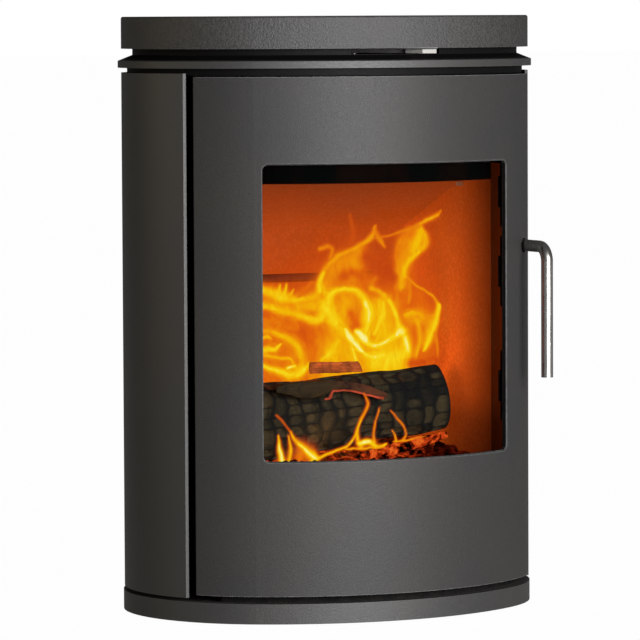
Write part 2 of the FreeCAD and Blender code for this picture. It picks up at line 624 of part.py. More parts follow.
# Brackets that carry the panels on the firebox walls, and their screws
brackets = []
bracket_screws = []
for level in ("bracket_low", "bracket_high"):
    for sign in (1, -1):
        shelf = sided_block(sign, "side_outer", "bracket_reach", "bracket_line", "bracket_back", level,
            f"{level} + bracket_wall")
        foot = sided_block(sign, "side_outer", "side_outer + bracket_wall", "bracket_line",
            "bracket_back", f"{level} - bracket_width", level)
        brackets.append(fuse(shelf, foot))
        head_x = "side_outer + bracket_wall" if sign > 0 else "0 - bracket_head_x"
        bracket_screws.append(rod("x", head_x, "bracket_line + bracket_width / 2",
            f"{level} - bracket_width / 2", "bracket_head_radius", "bracket_head_height"))
node(group(*brackets), "panel_brackets")
node(group(*bracket_screws), "panel_bracket_screws")

# Rear heat shield with vents, on four bushes with screws
shield_plate = block("0 - shield_half", "shield_half", "shield_front", "back_line", "panel_bottom",
    "panel_top")
shield_hole = rod("y", "0", "shield_front - overrun", "outlet_level",
    "spigot_radius + shield_hole_margin", "shield_wall + overrun + overrun")
vents = []
for i in range(sizes["vent_count"]):
    middle = f"({i} - (vent_count - 1) / 2) * vent_pitch"
    vents.append(block(f"{middle} - vent_width / 2", f"{middle} + vent_width / 2",
        "shield_front - overrun", "back_line + overrun", "vent_low", "vent_low + vent_height"))
node(cut(shield_plate, shield_hole, *vents), "rear_heat_shield")
bush_places = [(x, z) for x in ("shield_bush_x", "(0 - shield_bush_x)")
    for z in ("shield_bush_low", "shield_bush_high")]
node(group(*[rod("y", x, "rear_outer", z, "shield_bush_radius", "shield_front - rear_outer")
    for x, z in bush_places]), "shield_bushes")
node(group(*[rod("y", x, "back_line", z, "shield_head_radius", "shield_head_height")
    for x, z in bush_places]), "shield_screws")

# Collar: a lip, a slope, a neck with a thin rim up into the top plate's hollow round its front and
# sides, a skirt down to the door's top, and a notch for the air lever
collar_body = oval_body("collar_body", "collar_bottom", "collar_bottom + lip_height", "collar_grow")
slope = collar_body.newObject("PartDesign::AdditiveLoft", "Slope")
slope_low = new_sketch(collar_body, "XY_Plane", "collar_bottom + lip_height")
draw_oval(slope_low, "collar_grow")
slope_high = new_sketch(collar_body, "XY_Plane", "collar_bottom + lip_height + slope_height")
draw_oval(slope_high, "collar_grow - slope_inset")
slope.Profile = slope_low
slope.Sections = [slope_high]
collar_body.Tip = slope
neck = new_sketch(collar_body, "XY_Plane", "collar_bottom + lip_height + slope_height")
draw_oval(neck, "collar_grow - slope_inset")
pad(collar_body, neck, "rim_top - collar_top + neck_height")
skirt = new_sketch(collar_body, "XY_Plane", "skirt_bottom")
draw_oval(skirt, "0 - skirt_inset")
pad(collar_body, skirt, "collar_bottom - skirt_bottom")
skirt_hollow = new_sketch(collar_body, "XY_Plane", "skirt_bottom")
draw_oval(skirt_hollow, "0 - skirt_inset - skirt_wall")
pad(collar_body, skirt_hollow, "collar_bottom - skirt_bottom", "PartDesign::Pocket").Reversed = True
rim_hollow = new_sketch(collar_body, "XY_Plane", "rim_top + overrun")
draw_oval(rim_hollow, "collar_grow - slope_inset - rim_wall")
pad(collar_body, rim_hollow, "rim_top - collar_top + overrun", "PartDesign::Pocket")
opening = new_sketch(collar_body, "XY_Plane", "collar_top + overrun")
draw_oval(opening, "0 - collar_inner")
pad(collar_body, opening, "collar_top - collar_bottom + overrun + overrun", "PartDesign::Pocket")
notch = new_sketch(collar_body, "XY_Plane", "rim_top + overrun")
draw_rectangle(notch, "0 - notch_half", "notch_half", "0 - front_line - overrun", "0")
pad(collar_body, notch, "rim_top - collar_top + notch_depth + overrun", "PartDesign::Pocket")
rear_notch = new_sketch(collar_body, "XY_Plane", "rim_top + overrun")
draw_rectangle(rear_notch, "0 - far", "far", "rim_end", "back_line + overrun")
pad(collar_body, rear_notch, "rim_top - collar_top + overrun", "PartDesign::Pocket")
node(collar_body, "collar_ring")
foot_front_y = "(front_centre - sqrt((front_radius - collar_foot_front_inset)^2 - collar_foot_x^2))"
collar_feet = [rod("z", x, y, "top_top", "collar_foot_radius", "collar_bottom - top_top")
    for x in ("collar_foot_x", "(0 - collar_foot_x)") for y in (foot_front_y, "collar_foot_back")]
node(group(*collar_feet), "collar_feet")

# Top plate: a thick rimmed casting with a seat for the round cover
plate_body = oval_body("plate_body", "plate_bottom", "plate_top", "0")
hollow = new_sketch(plate_body, "XY_Plane", "plate_bottom")
draw_oval(hollow, "0 - plate_rim")
plate_hollow = pad(plate_body, hollow, "plate_height - plate_deck", "PartDesign::Pocket")
plate_hollow.Reversed = True
dress(plate_body, "Fillet", level_edge("plate_top"), "plate_round")
cover_hole = rod("z", "0", "cover_line", "plate_top - plate_deck - overrun", "cover_radius - cover_ledge",
    "plate_deck + overrun + overrun")
cover_seat = rod("z", "0", "cover_line", "plate_top - cover_wall", "cover_radius + cover_gap",
    "cover_wall + overrun")
node(cut(plate_body, cover_hole, cover_seat), "top_plate")
cover_disc = new_body("cover_disc")
disc = new_sketch(cover_disc, "XY_Plane", "plate_top - cover_wall")
edge = disc.addGeometry(Part.Circle(V(0, num("cover_line")), V(0, 0, 1), num("cover_radius")), False)
tie(disc, "PointOnObject", edge, 3, -2)
limit(disc, "DistanceY", -1, 1, edge, 3, "cover_line")
limit(disc, "Radius", edge, "cover_radius")
pad(cover_disc, disc, "cover_wall")
dress(cover_disc, "Fillet", level_edge("plate_top"), "cover_round")
finger = rod("z", "0", "cover_line - cover_radius", "plate_top - cover_wall - overrun", "finger_radius",
    "cover_wall + overrun + overrun")
node(cut(cover_disc, finger), "top_cover")
spacers = [rod("z", x, y, "top_top", "spacer_radius", "plate_top - plate_deck - top_top")
    for x in ("spacer_x", "(0 - spacer_x)") for y in ("(0 - spacer_front_y)", "spacer_back_y")]
node(group(*spacers), "top_plate_spacers")

# Front frame: the curved casting that the door closes on, with the fire and ash openings
frame_band = oval_body("frame_band", "base_height", "top_top", "frame_front", "frame_back")
frame_keep = block("0 - frame_half", "frame_half", "0 - front_line", "0", "base_height", "top_top")
fire_hole = block("0 - fire_half", "fire_half", "0 - front_line - overrun", "0", "fire_bottom",
    "fire_top")
ash_hole = block("0 - ash_half", "ash_half", "0 - front_line - overrun", "0", "ash_bottom",
    "hearth_level")
node(cut(common(frame_band, frame_keep), fire_hole, ash_hole), "front_frame")


# a board or wall whose front end follows the plan
def curved_block(label, grow, x0, x1, y0, y1, z0, z1, *holes):
    slab = oval_body(label + "_slab", z0, z1, grow)
    shape = common(slab, block(x0, x1, y0, y1, z0, z1))
    return node(cut(shape, *holes) if holes else shape, label)


# Firebox walls, top and hearth
for name, x0, x1 in (("left", "0 - side_outer", "0 - side_line"), ("right", "side_line", "side_outer")):
    curved_block(f"firebox_wall_{name}", "behind_frame", x0, x1, "0 - front_line", "rear_outer",
        "base_height", "top_level")
rear_plate = block("0 - side_line", "side_line", "rear_line", "rear_outer", "base_height", "top_level")
rear_hole = rod("y", "0", "rear_line - overrun", "outlet_level", "outlet_radius",
    "rear_wall + overrun + overrun")
node(cut(rear_plate, rear_hole), "firebox_wall_rear")
top_hole = rod("z", "0", "cover_line", "top_level - overrun", "outlet_radius",
    "top_wall + overrun + overrun")
curved_block("firebox_top", "behind_frame", "0 - side_outer", "side_outer", "0 - front_line",
    "rear_outer + top_overhang", "top_level", "top_top", top_hole)
grate_hole = block("0 - grate_half", "grate_half", "0 - grate_front", "grate_back",
    "hearth_level - overrun", "hearth_top + overrun")
grate_seat = block("0 - grate_half - grate_ledge", "grate_half + grate_ledge",
    "0 - grate_front - grate_ledge", "grate_back + grate_ledge", "hearth_top - grate_ledge_height",
    "hearth_top + overrun")
curved_block("hearth_plate", "(0 - hearth_front_inset)", "seat_gap - side_line", "side_line - seat_gap",
    "0 - front_line", "rear_line - seat_gap", "hearth_level", "hearth_top", grate_hole, grate_seat)

# Grate in the hearth and the plate that riddles it
grate_body = block("grate_gap - grate_half - grate_ledge", "grate_half + grate_ledge - grate_gap",
    "grate_gap - grate_front - grate_ledge", "grate_back + grate_ledge - grate_gap",
    "hearth_top - grate_ledge_height", "hearth_top")


def grate_slots(low, high, shift):
    slots = []
    for i in range(sizes["grate_slots"]):
        middle = f"(({i} - (grate_slots - 1) / 2) * slot_pitch)"
        slots.append(block(f"{middle} - grate_slot_width / 2", f"{middle} + grate_slot_width / 2",
            f"grate_margin - grate_front + {shift}", f"grate_back - grate_margin - {shift}", low, high))
    return slots


node(cut(grate_body, *grate_slots("hearth_top - grate_ledge_height - overrun", "hearth_top + overrun",
    "0")), "grate")
riddle_body = block("riddle_margin - grate_half", "grate_half - riddle_margin", "0 - grate_front",
    "grate_back", "riddle_low", "riddle_top")
node(cut(riddle_body, *grate_slots("riddle_low - overrun", "riddle_top + overrun", "riddle_margin")),
    "riddling_plate")
riddle_rod = rod("y", "riddle_rod_x", "0 - riddle_tip + riddle_knob_length", "rod_level",
    "riddle_rod_radius", "riddle_tip - riddle_knob_length - grate_front + riddle_margin + riddle_margin")
riddle_knob = rod("y", "riddle_rod_x", "0 - riddle_tip", "rod_level", "riddle_knob_radius",
    "riddle_knob_length")
node(fuse(riddle_rod, riddle_knob), "riddling_rod")
rails = []
for sign in (1, -1):
    rail = sided_block(sign, "grate_half - riddle_margin + seat_gap", "grate_half + rail_width",
        "0 - grate_front", "grate_back + riddle_travel", "riddle_low - rail_height - seat_gap",
        "hearth_level")
    lip = sided_block(sign, "rail_lip", "grate_half + rail_width", "0 - grate_front",
        "grate_back + riddle_travel", "riddle_low - rail_height - seat_gap", "riddle_low - seat_gap")
    rails.append(fuse(rail, lip))
node(group(*rails), "riddling_rails")

# Linings of the fire chamber
for name, x0, x1 in (("left", "seat_gap - side_line", "0 - lining_half"),
    ("right", "lining_half", "side_line - seat_gap")):
    curved_block(f"lining_{name}", "(0 - lining_front_inset)", x0, x1, "0 - front_line", "lining_back",
        "hearth_top", "lining_top")
rear_board = block("seat_gap - lining_half", "lining_half - seat_gap", "rear_lining_face", "lining_back",
    "hearth_top", "rear_lining_top")
air_slot = block("0 - slot_half", "slot_half", "rear_lining_face - overrun", "lining_back + overrun",
    "slot_low", "slot_low + slot_height")
node(cut(rear_board, air_slot), "lining_rear")

# Baffle: a board that leans from the rear lining up towards the front
baffle_run = "(rear_lining_face + baffle_front)"
baffle_rise = "(baffle_front_level - baffle_rear_level)"
baffle_body = new_body("baffle_body")
board = new_sketch(baffle_body, "YZ_Plane", "seat_gap - lining_half")
rise_drop = f"(baffle_wall * sqrt({baffle_run}^2 + {baffle_rise}^2) / {baffle_run})"
profile = [
    ("0 - baffle_front", "baffle_front_level"),
    ("rear_lining_face - seat_gap", "baffle_rear_level"),
    ("rear_lining_face - seat_gap", f"baffle_rear_level + {rise_drop}"),
    ("0 - baffle_front", f"baffle_front_level + {rise_drop}"),
]
points = [V(num(y), num(z)) for y, z in profile]
lines = board.addGeometry([Part.LineSegment(points[i], points[(i + 1) % 4]) for i in range(4)], False)
for i, (y, z) in enumerate(profile):
    tie(board, "Coincident", lines[i], 2, lines[(i + 1) % 4], 1)
    limit(board, "DistanceX", -1, 1, lines[i], 1, y)
    limit(board, "DistanceY", -1, 1, lines[i], 1, z)
pad(baffle_body, board, "lining_half - seat_gap + lining_half - seat_gap")
node(baffle_body, "baffle")
rest_top = f"baffle_front_level - seat_gap - {baffle_rise} / {baffle_run} * baffle_rest_width"
rests = []
for sign in (1, -1):
    rests.append(sided_block(sign, "lining_half - baffle_rest_width", "lining_half", "0 - baffle_front",
        "baffle_rest_width - baffle_front", f"{rest_top} - baffle_rest_wall", rest_top))
node(group(*rests), "baffle_rests")

# Air-wash deflector behind the top of the glass, and the log guard below it
deflector_band = oval_body("deflector_band", "deflector_bottom", "deflector_top", "behind_frame",
    "behind_frame - deflector_wall")
node(common(deflector_band, block("seat_gap - lining_half", "lining_half - seat_gap", "0 - front_line",
    "0", "deflector_bottom", "deflector_top")), "airwash_deflector")
guard_band = oval_body("guard_band", "hearth_top", "hearth_top + guard_height", "(0 - guard_inset)",
    "(0 - guard_inset - guard_wall)")
guard_keep = block("0 - guard_half", "guard_half", "0 - front_line", "0", "hearth_top",
    "hearth_top + guard_height")
tooth_pitch = "(guard_half + guard_half) / (guard_teeth + 2)"
teeth = []
for i in range(sizes["guard_teeth"]):
    middle = f"({i} - (guard_teeth - 1) / 2) * {tooth_pitch}"
    teeth.append(block(f"{middle} - guard_tooth_width / 2", f"{middle} + guard_tooth_width / 2",
        "0 - front_line", "0", "hearth_top + guard_height - guard_tooth_depth",
        "hearth_top + guard_height + overrun"))
node(cut(common(guard_band, guard_keep), *teeth), "log_guard")

# Ash box on the base, and the pan in it
ash_floor = "ash_bottom - seat_gap"
box_sides = [block(x0, x1, "0 - ash_box_front", "ash_box_back", "base_height", "hearth_level")
    for x0, x1 in (("ash_box_half - ash_wall", "ash_box_half"),
        ("0 - ash_box_half", "ash_wall - ash_box_half"))]
box_back = block("0 - ash_box_half", "ash_box_half", "ash_box_back - ash_wall", "ash_box_back",
    "base_height", "hearth_level")
box_floor = block("0 - ash_box_half", "ash_box_half", "0 - ash_box_front", "ash_box_back",
    f"{ash_floor} - ash_wall", ash_floor)
node(fuse(*box_sides, box_back, box_floor), "ash_box")
pan_outer = block("0 - pan_half", "pan_half", "0 - pan_front", "pan_back", "ash_bottom", "pan_top")
pan_inner = block("pan_wall - pan_half", "pan_half - pan_wall", "pan_wall - pan_front",
    "pan_back - pan_wall", "ash_bottom + pan_wall", "pan_top + overrun")
node(cut(pan_outer, pan_inner), "ash_pan")
pull_arms = [rod("y", x, "0 - pan_front - pull_reach", "pull_level", "pull_radius", "pull_reach")
    for x in ("pull_half_width", "(0 - pull_half_width)")]
pull_bar = rod("x", "0 - pull_half_width - pull_radius", "0 - pan_front - pull_reach", "pull_level",
    "pull_radius", "pull_half_width + pull_half_width + pull_radius + pull_radius")
node(fuse(*pull_arms, pull_bar), "ash_pan_pull")

# Flue spigot on the back, the blanking plate on the top outlet, and their screws
spigot_tube = rod("y", "0", "rear_outer", "outlet_level", "spigot_radius", "spigot_reach - rear_outer")
spigot_flange = rod("y", "0", "rear_outer", "outlet_level", "spigot_flange_radius", "spigot_flange_wall")
spigot_bore = rod("y", "0", "rear_outer - overrun", "outlet_level", "outlet_radius",
    "spigot_reach - rear_outer + overrun + overrun")
node(cut(fuse(spigot_tube, spigot_flange), spigot_bore), "flue_spigot")
node(rod("z", "0", "cover_line", "top_top", "outlet_radius + blank_margin", "blank_wall"),
    "outlet_blanking_plate", "cover_line")
screw_count = 4
circle_shares = [(math.cos((i + 0.5) * math.pi / 2), math.sin((i + 0.5) * math.pi / 2))
    for i in range(screw_count)]
node(group(*[rod("z", f"blank_circle * {a}", f"cover_line + blank_circle * {b}", "top_top + blank_wall",
    "blank_head_radius", "blank_head_height") for a, b in circle_shares]), "blanking_plate_screws")
node(group(*[rod("y", f"spigot_circle * {a}", "rear_outer + spigot_flange_wall",
    f"outlet_level + spigot_circle * {b}", "blank_head_radius", "blank_head_height")
    for a, b in circle_shares]), "spigot_screws")

# Handle: a bent round bar, with its bush, latch tongue and nut
handle_body = new_body("handle_body")
path = new_sketch(handle_body, "YZ_Plane", "handle_x")
start = V(-num("shaft_end"), num("handle_level"))
corner_y = -num("handle_line")
bend = num("handle_bend")
elbow = V(corner_y + bend, num("handle_level"))
drop = V(corner_y, num("handle_level") - bend)
centre = V(corner_y + bend, num("handle_level") - bend)
straight = path.addGeometry(Part.LineSegment(start, elbow), False)
curve = path.addGeometry(Part.ArcOfCircle(Part.Circle(centre, V(0, 0, 1), bend), math.pi / 2, math.pi),
    False)
hanging = path.addGeometry(Part.LineSegment(drop, V(corner_y, num("handle_end"))), False)
tie(path, "Tangent", straight, 2, curve, 1)
tie(path, "Tangent", curve, 2, hanging, 1)
tie(path, "Horizontal", straight)
tie(path, "Vertical", hanging)
limit(path, "Radius", curve, "handle_bend")
limit(path, "DistanceY", -1, 1, straight, 1, "handle_level")
limit(path, "DistanceX", straight, 1, -1, 1, "shaft_end")
limit(path, "DistanceX", hanging, 2, -1, 1, "handle_line")
limit(path, "DistanceY", -1, 1, hanging, 2, "handle_end")
section = new_sketch(handle_body, "XZ_Plane", "shaft_end")
ring = section.addGeometry(Part.Circle(V(num("handle_x"), num("handle_level")), V(0, 0, 1),
    num("rod_radius")), False)
limit(section, "DistanceX", -1, 1, ring, 3, "handle_x")
limit(section, "DistanceY", -1, 1, ring, 3, "handle_level")
limit(section, "Radius", ring, "rod_radius")
bar = handle_body.newObject("PartDesign::AdditivePipe", "Bar")
bar.Profile = section
bar.Spine = (path, ["Edge1", "Edge2", "Edge3"])
node(handle_body, "door_handle")

bush_tube = rod("y", "handle_x", "0 - bush_front", "handle_level", "bush_radius",
    "bush_front - bush_back")
bush_bore = rod("y", "handle_x", "0 - front_line", "handle_level", "rod_radius + running_gap",
    "front_line")
node(cut(bush_tube, bush_bore), "handle_bush")
finger = block("handle_x - tongue_width / 2", "handle_x + tongue_width / 2", "0 - tongue_line",
    "tongue_back", "handle_level", "handle_level + tongue_reach")
hub = rod("y", "handle_x", "0 - tongue_line", "handle_level", "latch_nut_radius", "tongue_wall")
node(cut(fuse(hub, finger), rod("y", "handle_x", "0 - front_line", "handle_level", "rod_radius",
    "front_line")), "latch_tongue")
nut = rod("y", "handle_x", "tongue_back + seat_gap", "handle_level", "latch_nut_radius", "latch_nut_wall")
node(cut(nut, rod("y", "handle_x", "0 - front_line", "handle_level", "rod_radius", "front_line")),
    "latch_nut")
keeper_slab = oval_body("keeper_slab", "handle_level - keeper_height / 2",
    "handle_level + keeper_height / 2", "behind_frame")
node(common(keeper_slab, block("side_outer", "frame_half + keeper_lip", "0 - front_line",
    "0 - tongue_line - keeper_gap", "handle_level - keeper_height / 2",
    "handle_level + keeper_height / 2")), "latch_keeper")

# Air control: a box on the firebox top, a turning valve disc, its spindle and the lever
box_top = "(top_top + air_box_height)"
air_outer = block("0 - air_box_half_width", "air_box_half_width", "0 - air_box_front", "0 - air_box_back",
    "top_top", box_top)
air_inner = block("air_box_wall - air_box_half_width", "air_box_half_width - air_box_wall",
    "air_box_wall - air_box_front", "0 - air_box_back - air_box_wall", "top_top - overrun",
    f"{box_top} - air_box_wall")
ports = [rod("z", f"valve_port_offset * {s}", "0 - pivot_line", f"{box_top} - air_box_wall - overrun",
    "valve_port_radius", "air_box_wall + overrun + overrun") for s in (1, -1)]
spindle_hole = rod("z", "0", "0 - pivot_line", f"{box_top} - air_box_wall - overrun",
    "spindle_radius + running_gap", "air_box_wall + overrun + overrun")
node(cut(air_outer, air_inner, *ports, spindle_hole), "air_box")
disc_low = f"({box_top} + valve_gap)"
valve = rod("z", "0", "0 - pivot_line", disc_low, "valve_radius", "valve_wall")
valve_ports = [rod("z", f"valve_port_offset * {s}", "0 - pivot_line", f"{disc_low} - overrun",
    "valve_port_radius", "valve_wall + overrun + overrun") for s in (1, -1)]
valve_eye = rod("z", "0", "0 - pivot_line", f"{disc_low} - overrun", "spindle_radius",
    "valve_wall + overrun + overrun")
node(cut(valve, *valve_ports, valve_eye), "air_valve_disc")
node(rod("z", "0", "0 - pivot_line", f"{box_top} - air_box_wall", "spindle_radius",
    f"lever_level + lever_wall - {box_top} + air_box_wall"), "air_valve_spindle", "(0 - pivot_line)")
arm = block("0 - lever_width / 2", "lever_width / 2", "0 - lever_length", "lever_width / 2", "0",
    "lever_wall")
tab = block("0 - lever_tab_width / 2", "lever_tab_width / 2", "0 - lever_length",
    "lever_tab_length - lever_length", "0", "lever_wall")
lever_eye = rod("z", "0", "0", "0 - overrun", "spindle_radius", "lever_wall + overrun + overrun")
lever = node(cut(fuse(arm, tab), lever_eye), "air_lever")
lever.Placement = FreeCAD.Placement(V(), FreeCAD.Rotation(V(0, 0, 1), sizes["lever_angle"]))
bind(lever, Placement__Base__y="depth_shift - pivot_line", Placement__Base__z="lever_level")

doc.recompute()

# every object is sound before anything is written
for item in doc.Objects:
    faults = [state for state in item.State if state in ("Invalid", "Error")]
    if faults:
        raise RuntimeError(f"{item.Name} ({item.Label}) is {faults}")
for item in nodes:
    shape = item.Shape
    if shape.isNull() or not shape.isValid() or not shape.Solids:
        raise RuntimeError(f"{item.Label} has no sound solid")
    shape.exportStep(f"parts/{item.Label}.step")
    print(item.Label, len(shape.Solids), "solids", round(shape.Volume), "mm3")
print(len(nodes), "nodes")
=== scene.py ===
import json
import math
import random
import bmesh
import bpy
import numpy
from mathutils import Matrix, Vector, noise

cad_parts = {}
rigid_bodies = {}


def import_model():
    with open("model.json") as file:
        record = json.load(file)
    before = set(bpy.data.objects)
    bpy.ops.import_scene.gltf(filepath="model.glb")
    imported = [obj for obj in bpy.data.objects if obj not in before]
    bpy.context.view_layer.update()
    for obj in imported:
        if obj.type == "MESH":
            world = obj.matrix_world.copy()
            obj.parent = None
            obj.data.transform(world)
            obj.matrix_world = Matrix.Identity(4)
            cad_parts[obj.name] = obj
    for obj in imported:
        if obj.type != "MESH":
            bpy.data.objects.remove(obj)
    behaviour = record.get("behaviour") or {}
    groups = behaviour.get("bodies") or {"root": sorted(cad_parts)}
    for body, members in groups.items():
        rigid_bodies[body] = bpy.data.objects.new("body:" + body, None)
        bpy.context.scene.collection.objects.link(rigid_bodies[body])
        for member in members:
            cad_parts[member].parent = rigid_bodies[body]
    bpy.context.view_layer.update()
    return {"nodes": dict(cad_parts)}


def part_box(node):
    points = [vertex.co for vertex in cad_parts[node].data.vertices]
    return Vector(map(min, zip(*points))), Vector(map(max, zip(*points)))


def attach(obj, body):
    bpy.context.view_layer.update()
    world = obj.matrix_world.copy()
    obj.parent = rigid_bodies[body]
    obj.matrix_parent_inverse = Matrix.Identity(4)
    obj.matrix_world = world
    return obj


for leftover in list(bpy.data.objects):
    bpy.data.objects.remove(leftover)
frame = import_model()
nodes = frame["nodes"]
print("stove loaded:", len(nodes), "pieces")

# The camera stands to the left of the front. Its angles are in degrees.
photo = {
    "azimuth": 27.259,
    "distance": 4.9408,
    "height": 0.612,
    "pitch": 3.68,
    "yaw": -0.0816,
    "roll": -0.268,
    "lens": 268.55,
    "sensor": 36.0,
    "size": 640,
    "planCentre": -0.01363,  # y of the middle of the stove's plan
}


def cameraAxes():
    heading = math.radians(photo["azimuth"] + photo["yaw"])
    pitch = math.radians(photo["pitch"])
    forward = Vector((
        math.sin(heading) * math.cos(pitch),
        math.cos(heading) * math.cos(pitch),
        -math.sin(pitch),
    ))
    level = Vector((math.cos(heading), -math.sin(heading), 0))
    roll = math.radians(photo["roll"])
    right = level * math.cos(roll) + level.cross(forward) * math.sin(roll)
    return forward, right, right.cross(forward)


def cameraSpot():
    turn = math.radians(photo["azimuth"])
    return Vector((
        -math.sin(turn) * photo["distance"],
        -math.cos(turn) * photo["distance"] + photo["planCentre"],
        photo["height"],
    ))


def photoPoint(across, down, depth):
    # The place on the plane y = depth that shows at this pixel of the photograph
    forward, right, up = cameraAxes()
    focal = photo["lens"] / photo["sensor"] * photo["size"]
    half = photo["size"] / 2
    ray = forward + right * ((across - half) / focal) + up * ((half - down) / focal)
    spot = cameraSpot()
    return spot + ray * ((depth - spot.y) / ray.y)


def newObject(name, data):
    item = bpy.data.objects.new(name, data)
    bpy.context.scene.collection.objects.link(item)
    return item


def addCamera():
    lens = bpy.data.cameras.new("photoCamera")
    lens.lens = photo["lens"]
    lens.sensor_width = photo["sensor"]
    lens.clip_end = 100
    viewer = newObject("photoCamera", lens)
    viewer.location = cameraSpot()
    forward, right, up = cameraAxes()
    viewer.rotation_euler = Matrix((right, up, -forward)).transposed().to_euler()
    bpy.context.scene.camera = viewer


addCamera()
print("camera set")


# Node helpers
def addNode(tree, kind, **settings):
    node = tree.nodes.new("ShaderNode" + kind)
    for name, value in settings.items():
        setattr(node, name, value)
    return node


def plug(tree, source, node, socket):
    # Joins an output or sets a plain value. None leaves the socket as it is.
    if isinstance(source, bpy.types.NodeSocket):
        tree.links.new(source, node.inputs[socket])
    elif source is not None:
        node.inputs[socket].default_value = source


def feed(tree, kind, output, sources, **settings):
    # Adds a node with what goes into it, and gives its output
    node = addNode(tree, kind, **settings)
    for socket, source in sources.items():
        plug(tree, source, node, socket)
    return node.outputs[output]


def newFinish(name, colour, roughness, metallic=0.0, gloss=0.5):
    finish = bpy.data.materials.new(name)
    finish.use_nodes = True
    coat(finish, (*colour, 1), None, roughness)
    coatOf(finish, "Metallic", metallic)
    coatOf(finish, "Specular IOR Level", gloss)
    return finish, finish.node_tree


def objectSpace(tree, stretch=(1, 1, 1)):
    place = feed(tree, "TexCoord", "Object", {})
    return feed(tree, "Mapping", "Vector", {"Scale": stretch, "Vector": place})


def noiseOf(tree, vector, scale, detail=4.0, roughness=0.55, distortion=0.0):
    return feed(tree, "TexNoise", "Fac", {
        "Vector": vector, "Scale": scale, "Detail": detail, "Roughness": roughness, "Distortion": distortion,
    })


def cellsOf(tree, vector, scale, spread=1.0):
    return feed(tree, "TexVoronoi", "Distance", {"Vector": vector, "Scale": scale, "Randomness": spread})


def remap(tree, value, low, high, toLow=0.0, toHigh=1.0):
    return feed(tree, "MapRange", "Result", {
        "Value": value, "From Min": low, "From Max": high, "To Min": toLow, "To Max": toHigh,
    })


def sums(tree, operation, first, second, clamp=False):
    return feed(tree, "Math", "Value", {0: first, 1: second}, operation=operation, use_clamp=clamp)


def times(tree, first, second, clamp=False):
    return sums(tree, "MULTIPLY", first, second, clamp)


def blend(tree, share, first, second, way="MIX"):
    first, second = ((*colour, 1) if isinstance(colour, tuple) else colour for colour in (first, second))
    return feed(tree, "MixRGB", "Color", {"Fac": share, "Color1": first, "Color2": second}, blend_type=way)


def rampOf(tree, value, stops):
    node = addNode(tree, "ValToRGB")
    band = node.color_ramp
    while len(band.elements) < len(stops):
        band.elements.new(0.5)
    for element, (place, colour) in zip(band.elements, stops):
        element.position = place
        element.color = (*colour, 1)
    plug(tree, value, node, "Fac")
    return node.outputs["Color"]


def bumpOf(tree, height, strength, distance, under=None):
    sources = {"Strength": strength, "Distance": distance, "Height": height, "Normal": under}
    return feed(tree, "Bump", "Normal", sources)


def axisOf(tree, vector, axis):
    return feed(tree, "SeparateXYZ", axis, {"Vector": vector})


def vectorSums(tree, operation, first, second=(0, 0, 0)):
    output = "Value" if operation == "DOT_PRODUCT" else "Vector"
    return feed(tree, "VectorMath", output, {0: first, 1: second}, operation=operation)


def normalOf(tree):
    return feed(tree, "NewGeometry", "Normal", {})


def edgeOf(tree, reach):
    # 1 where the surface turns within that reach, 0 on the flat
    soft = feed(tree, "Bevel", "Normal", {"Radius": reach}, samples=4)
    return remap(tree, vectorSums(tree, "DOT_PRODUCT", soft, normalOf(tree)), 0.99, 0.9)


def attributeOf(tree, name):
    return feed(tree, "Attribute", "Fac", {}, attribute_name=name)


def coatOf(finish, socket, source):
    tree = finish.node_tree
    plug(tree, source, tree.nodes["Principled BSDF"], socket)


def coat(finish, body, bump, rough=None, glow=None, strength=None):
    # Sets or joins what the finish's shader is to show
    sockets = ("Base Color", "Normal", "Roughness", "Emission Color", "Emission Strength")
    for socket, source in zip(sockets, (body, bump, rough, glow, strength)):
        coatOf(finish, socket, source)
    return finish


# Stove paint: matt charcoal, sprayed over cast iron or sheet
paint = {
    "colour": (0.029, 0.0285, 0.029),
    "warmColour": (0.033, 0.0305, 0.028),
    # lighter edge colour: partly wear, partly a painted highlight along the edges
    "wearAndHighlightColour": (0.06, 0.058, 0.056),
    # the door's edges and window rim: a painted highlight
    "edgeColour": (0.2, 0.2, 0.2),
    "sheetEdgeColour": (0.01, 0.01, 0.01),
    # near black painted shade for the collar's slope, neck and skirt
    "neckShadeColour": (0.004, 0.004, 0.004),
    "lipLevels": (0.5569, 0.5572, 0.5641, 0.5656),  # the collar keeps its paint colour between these levels, with painted shade above and below
    "roughness": 0.5,
    "gloss": 0.5,
    "edgeReach": 0.0012,
}


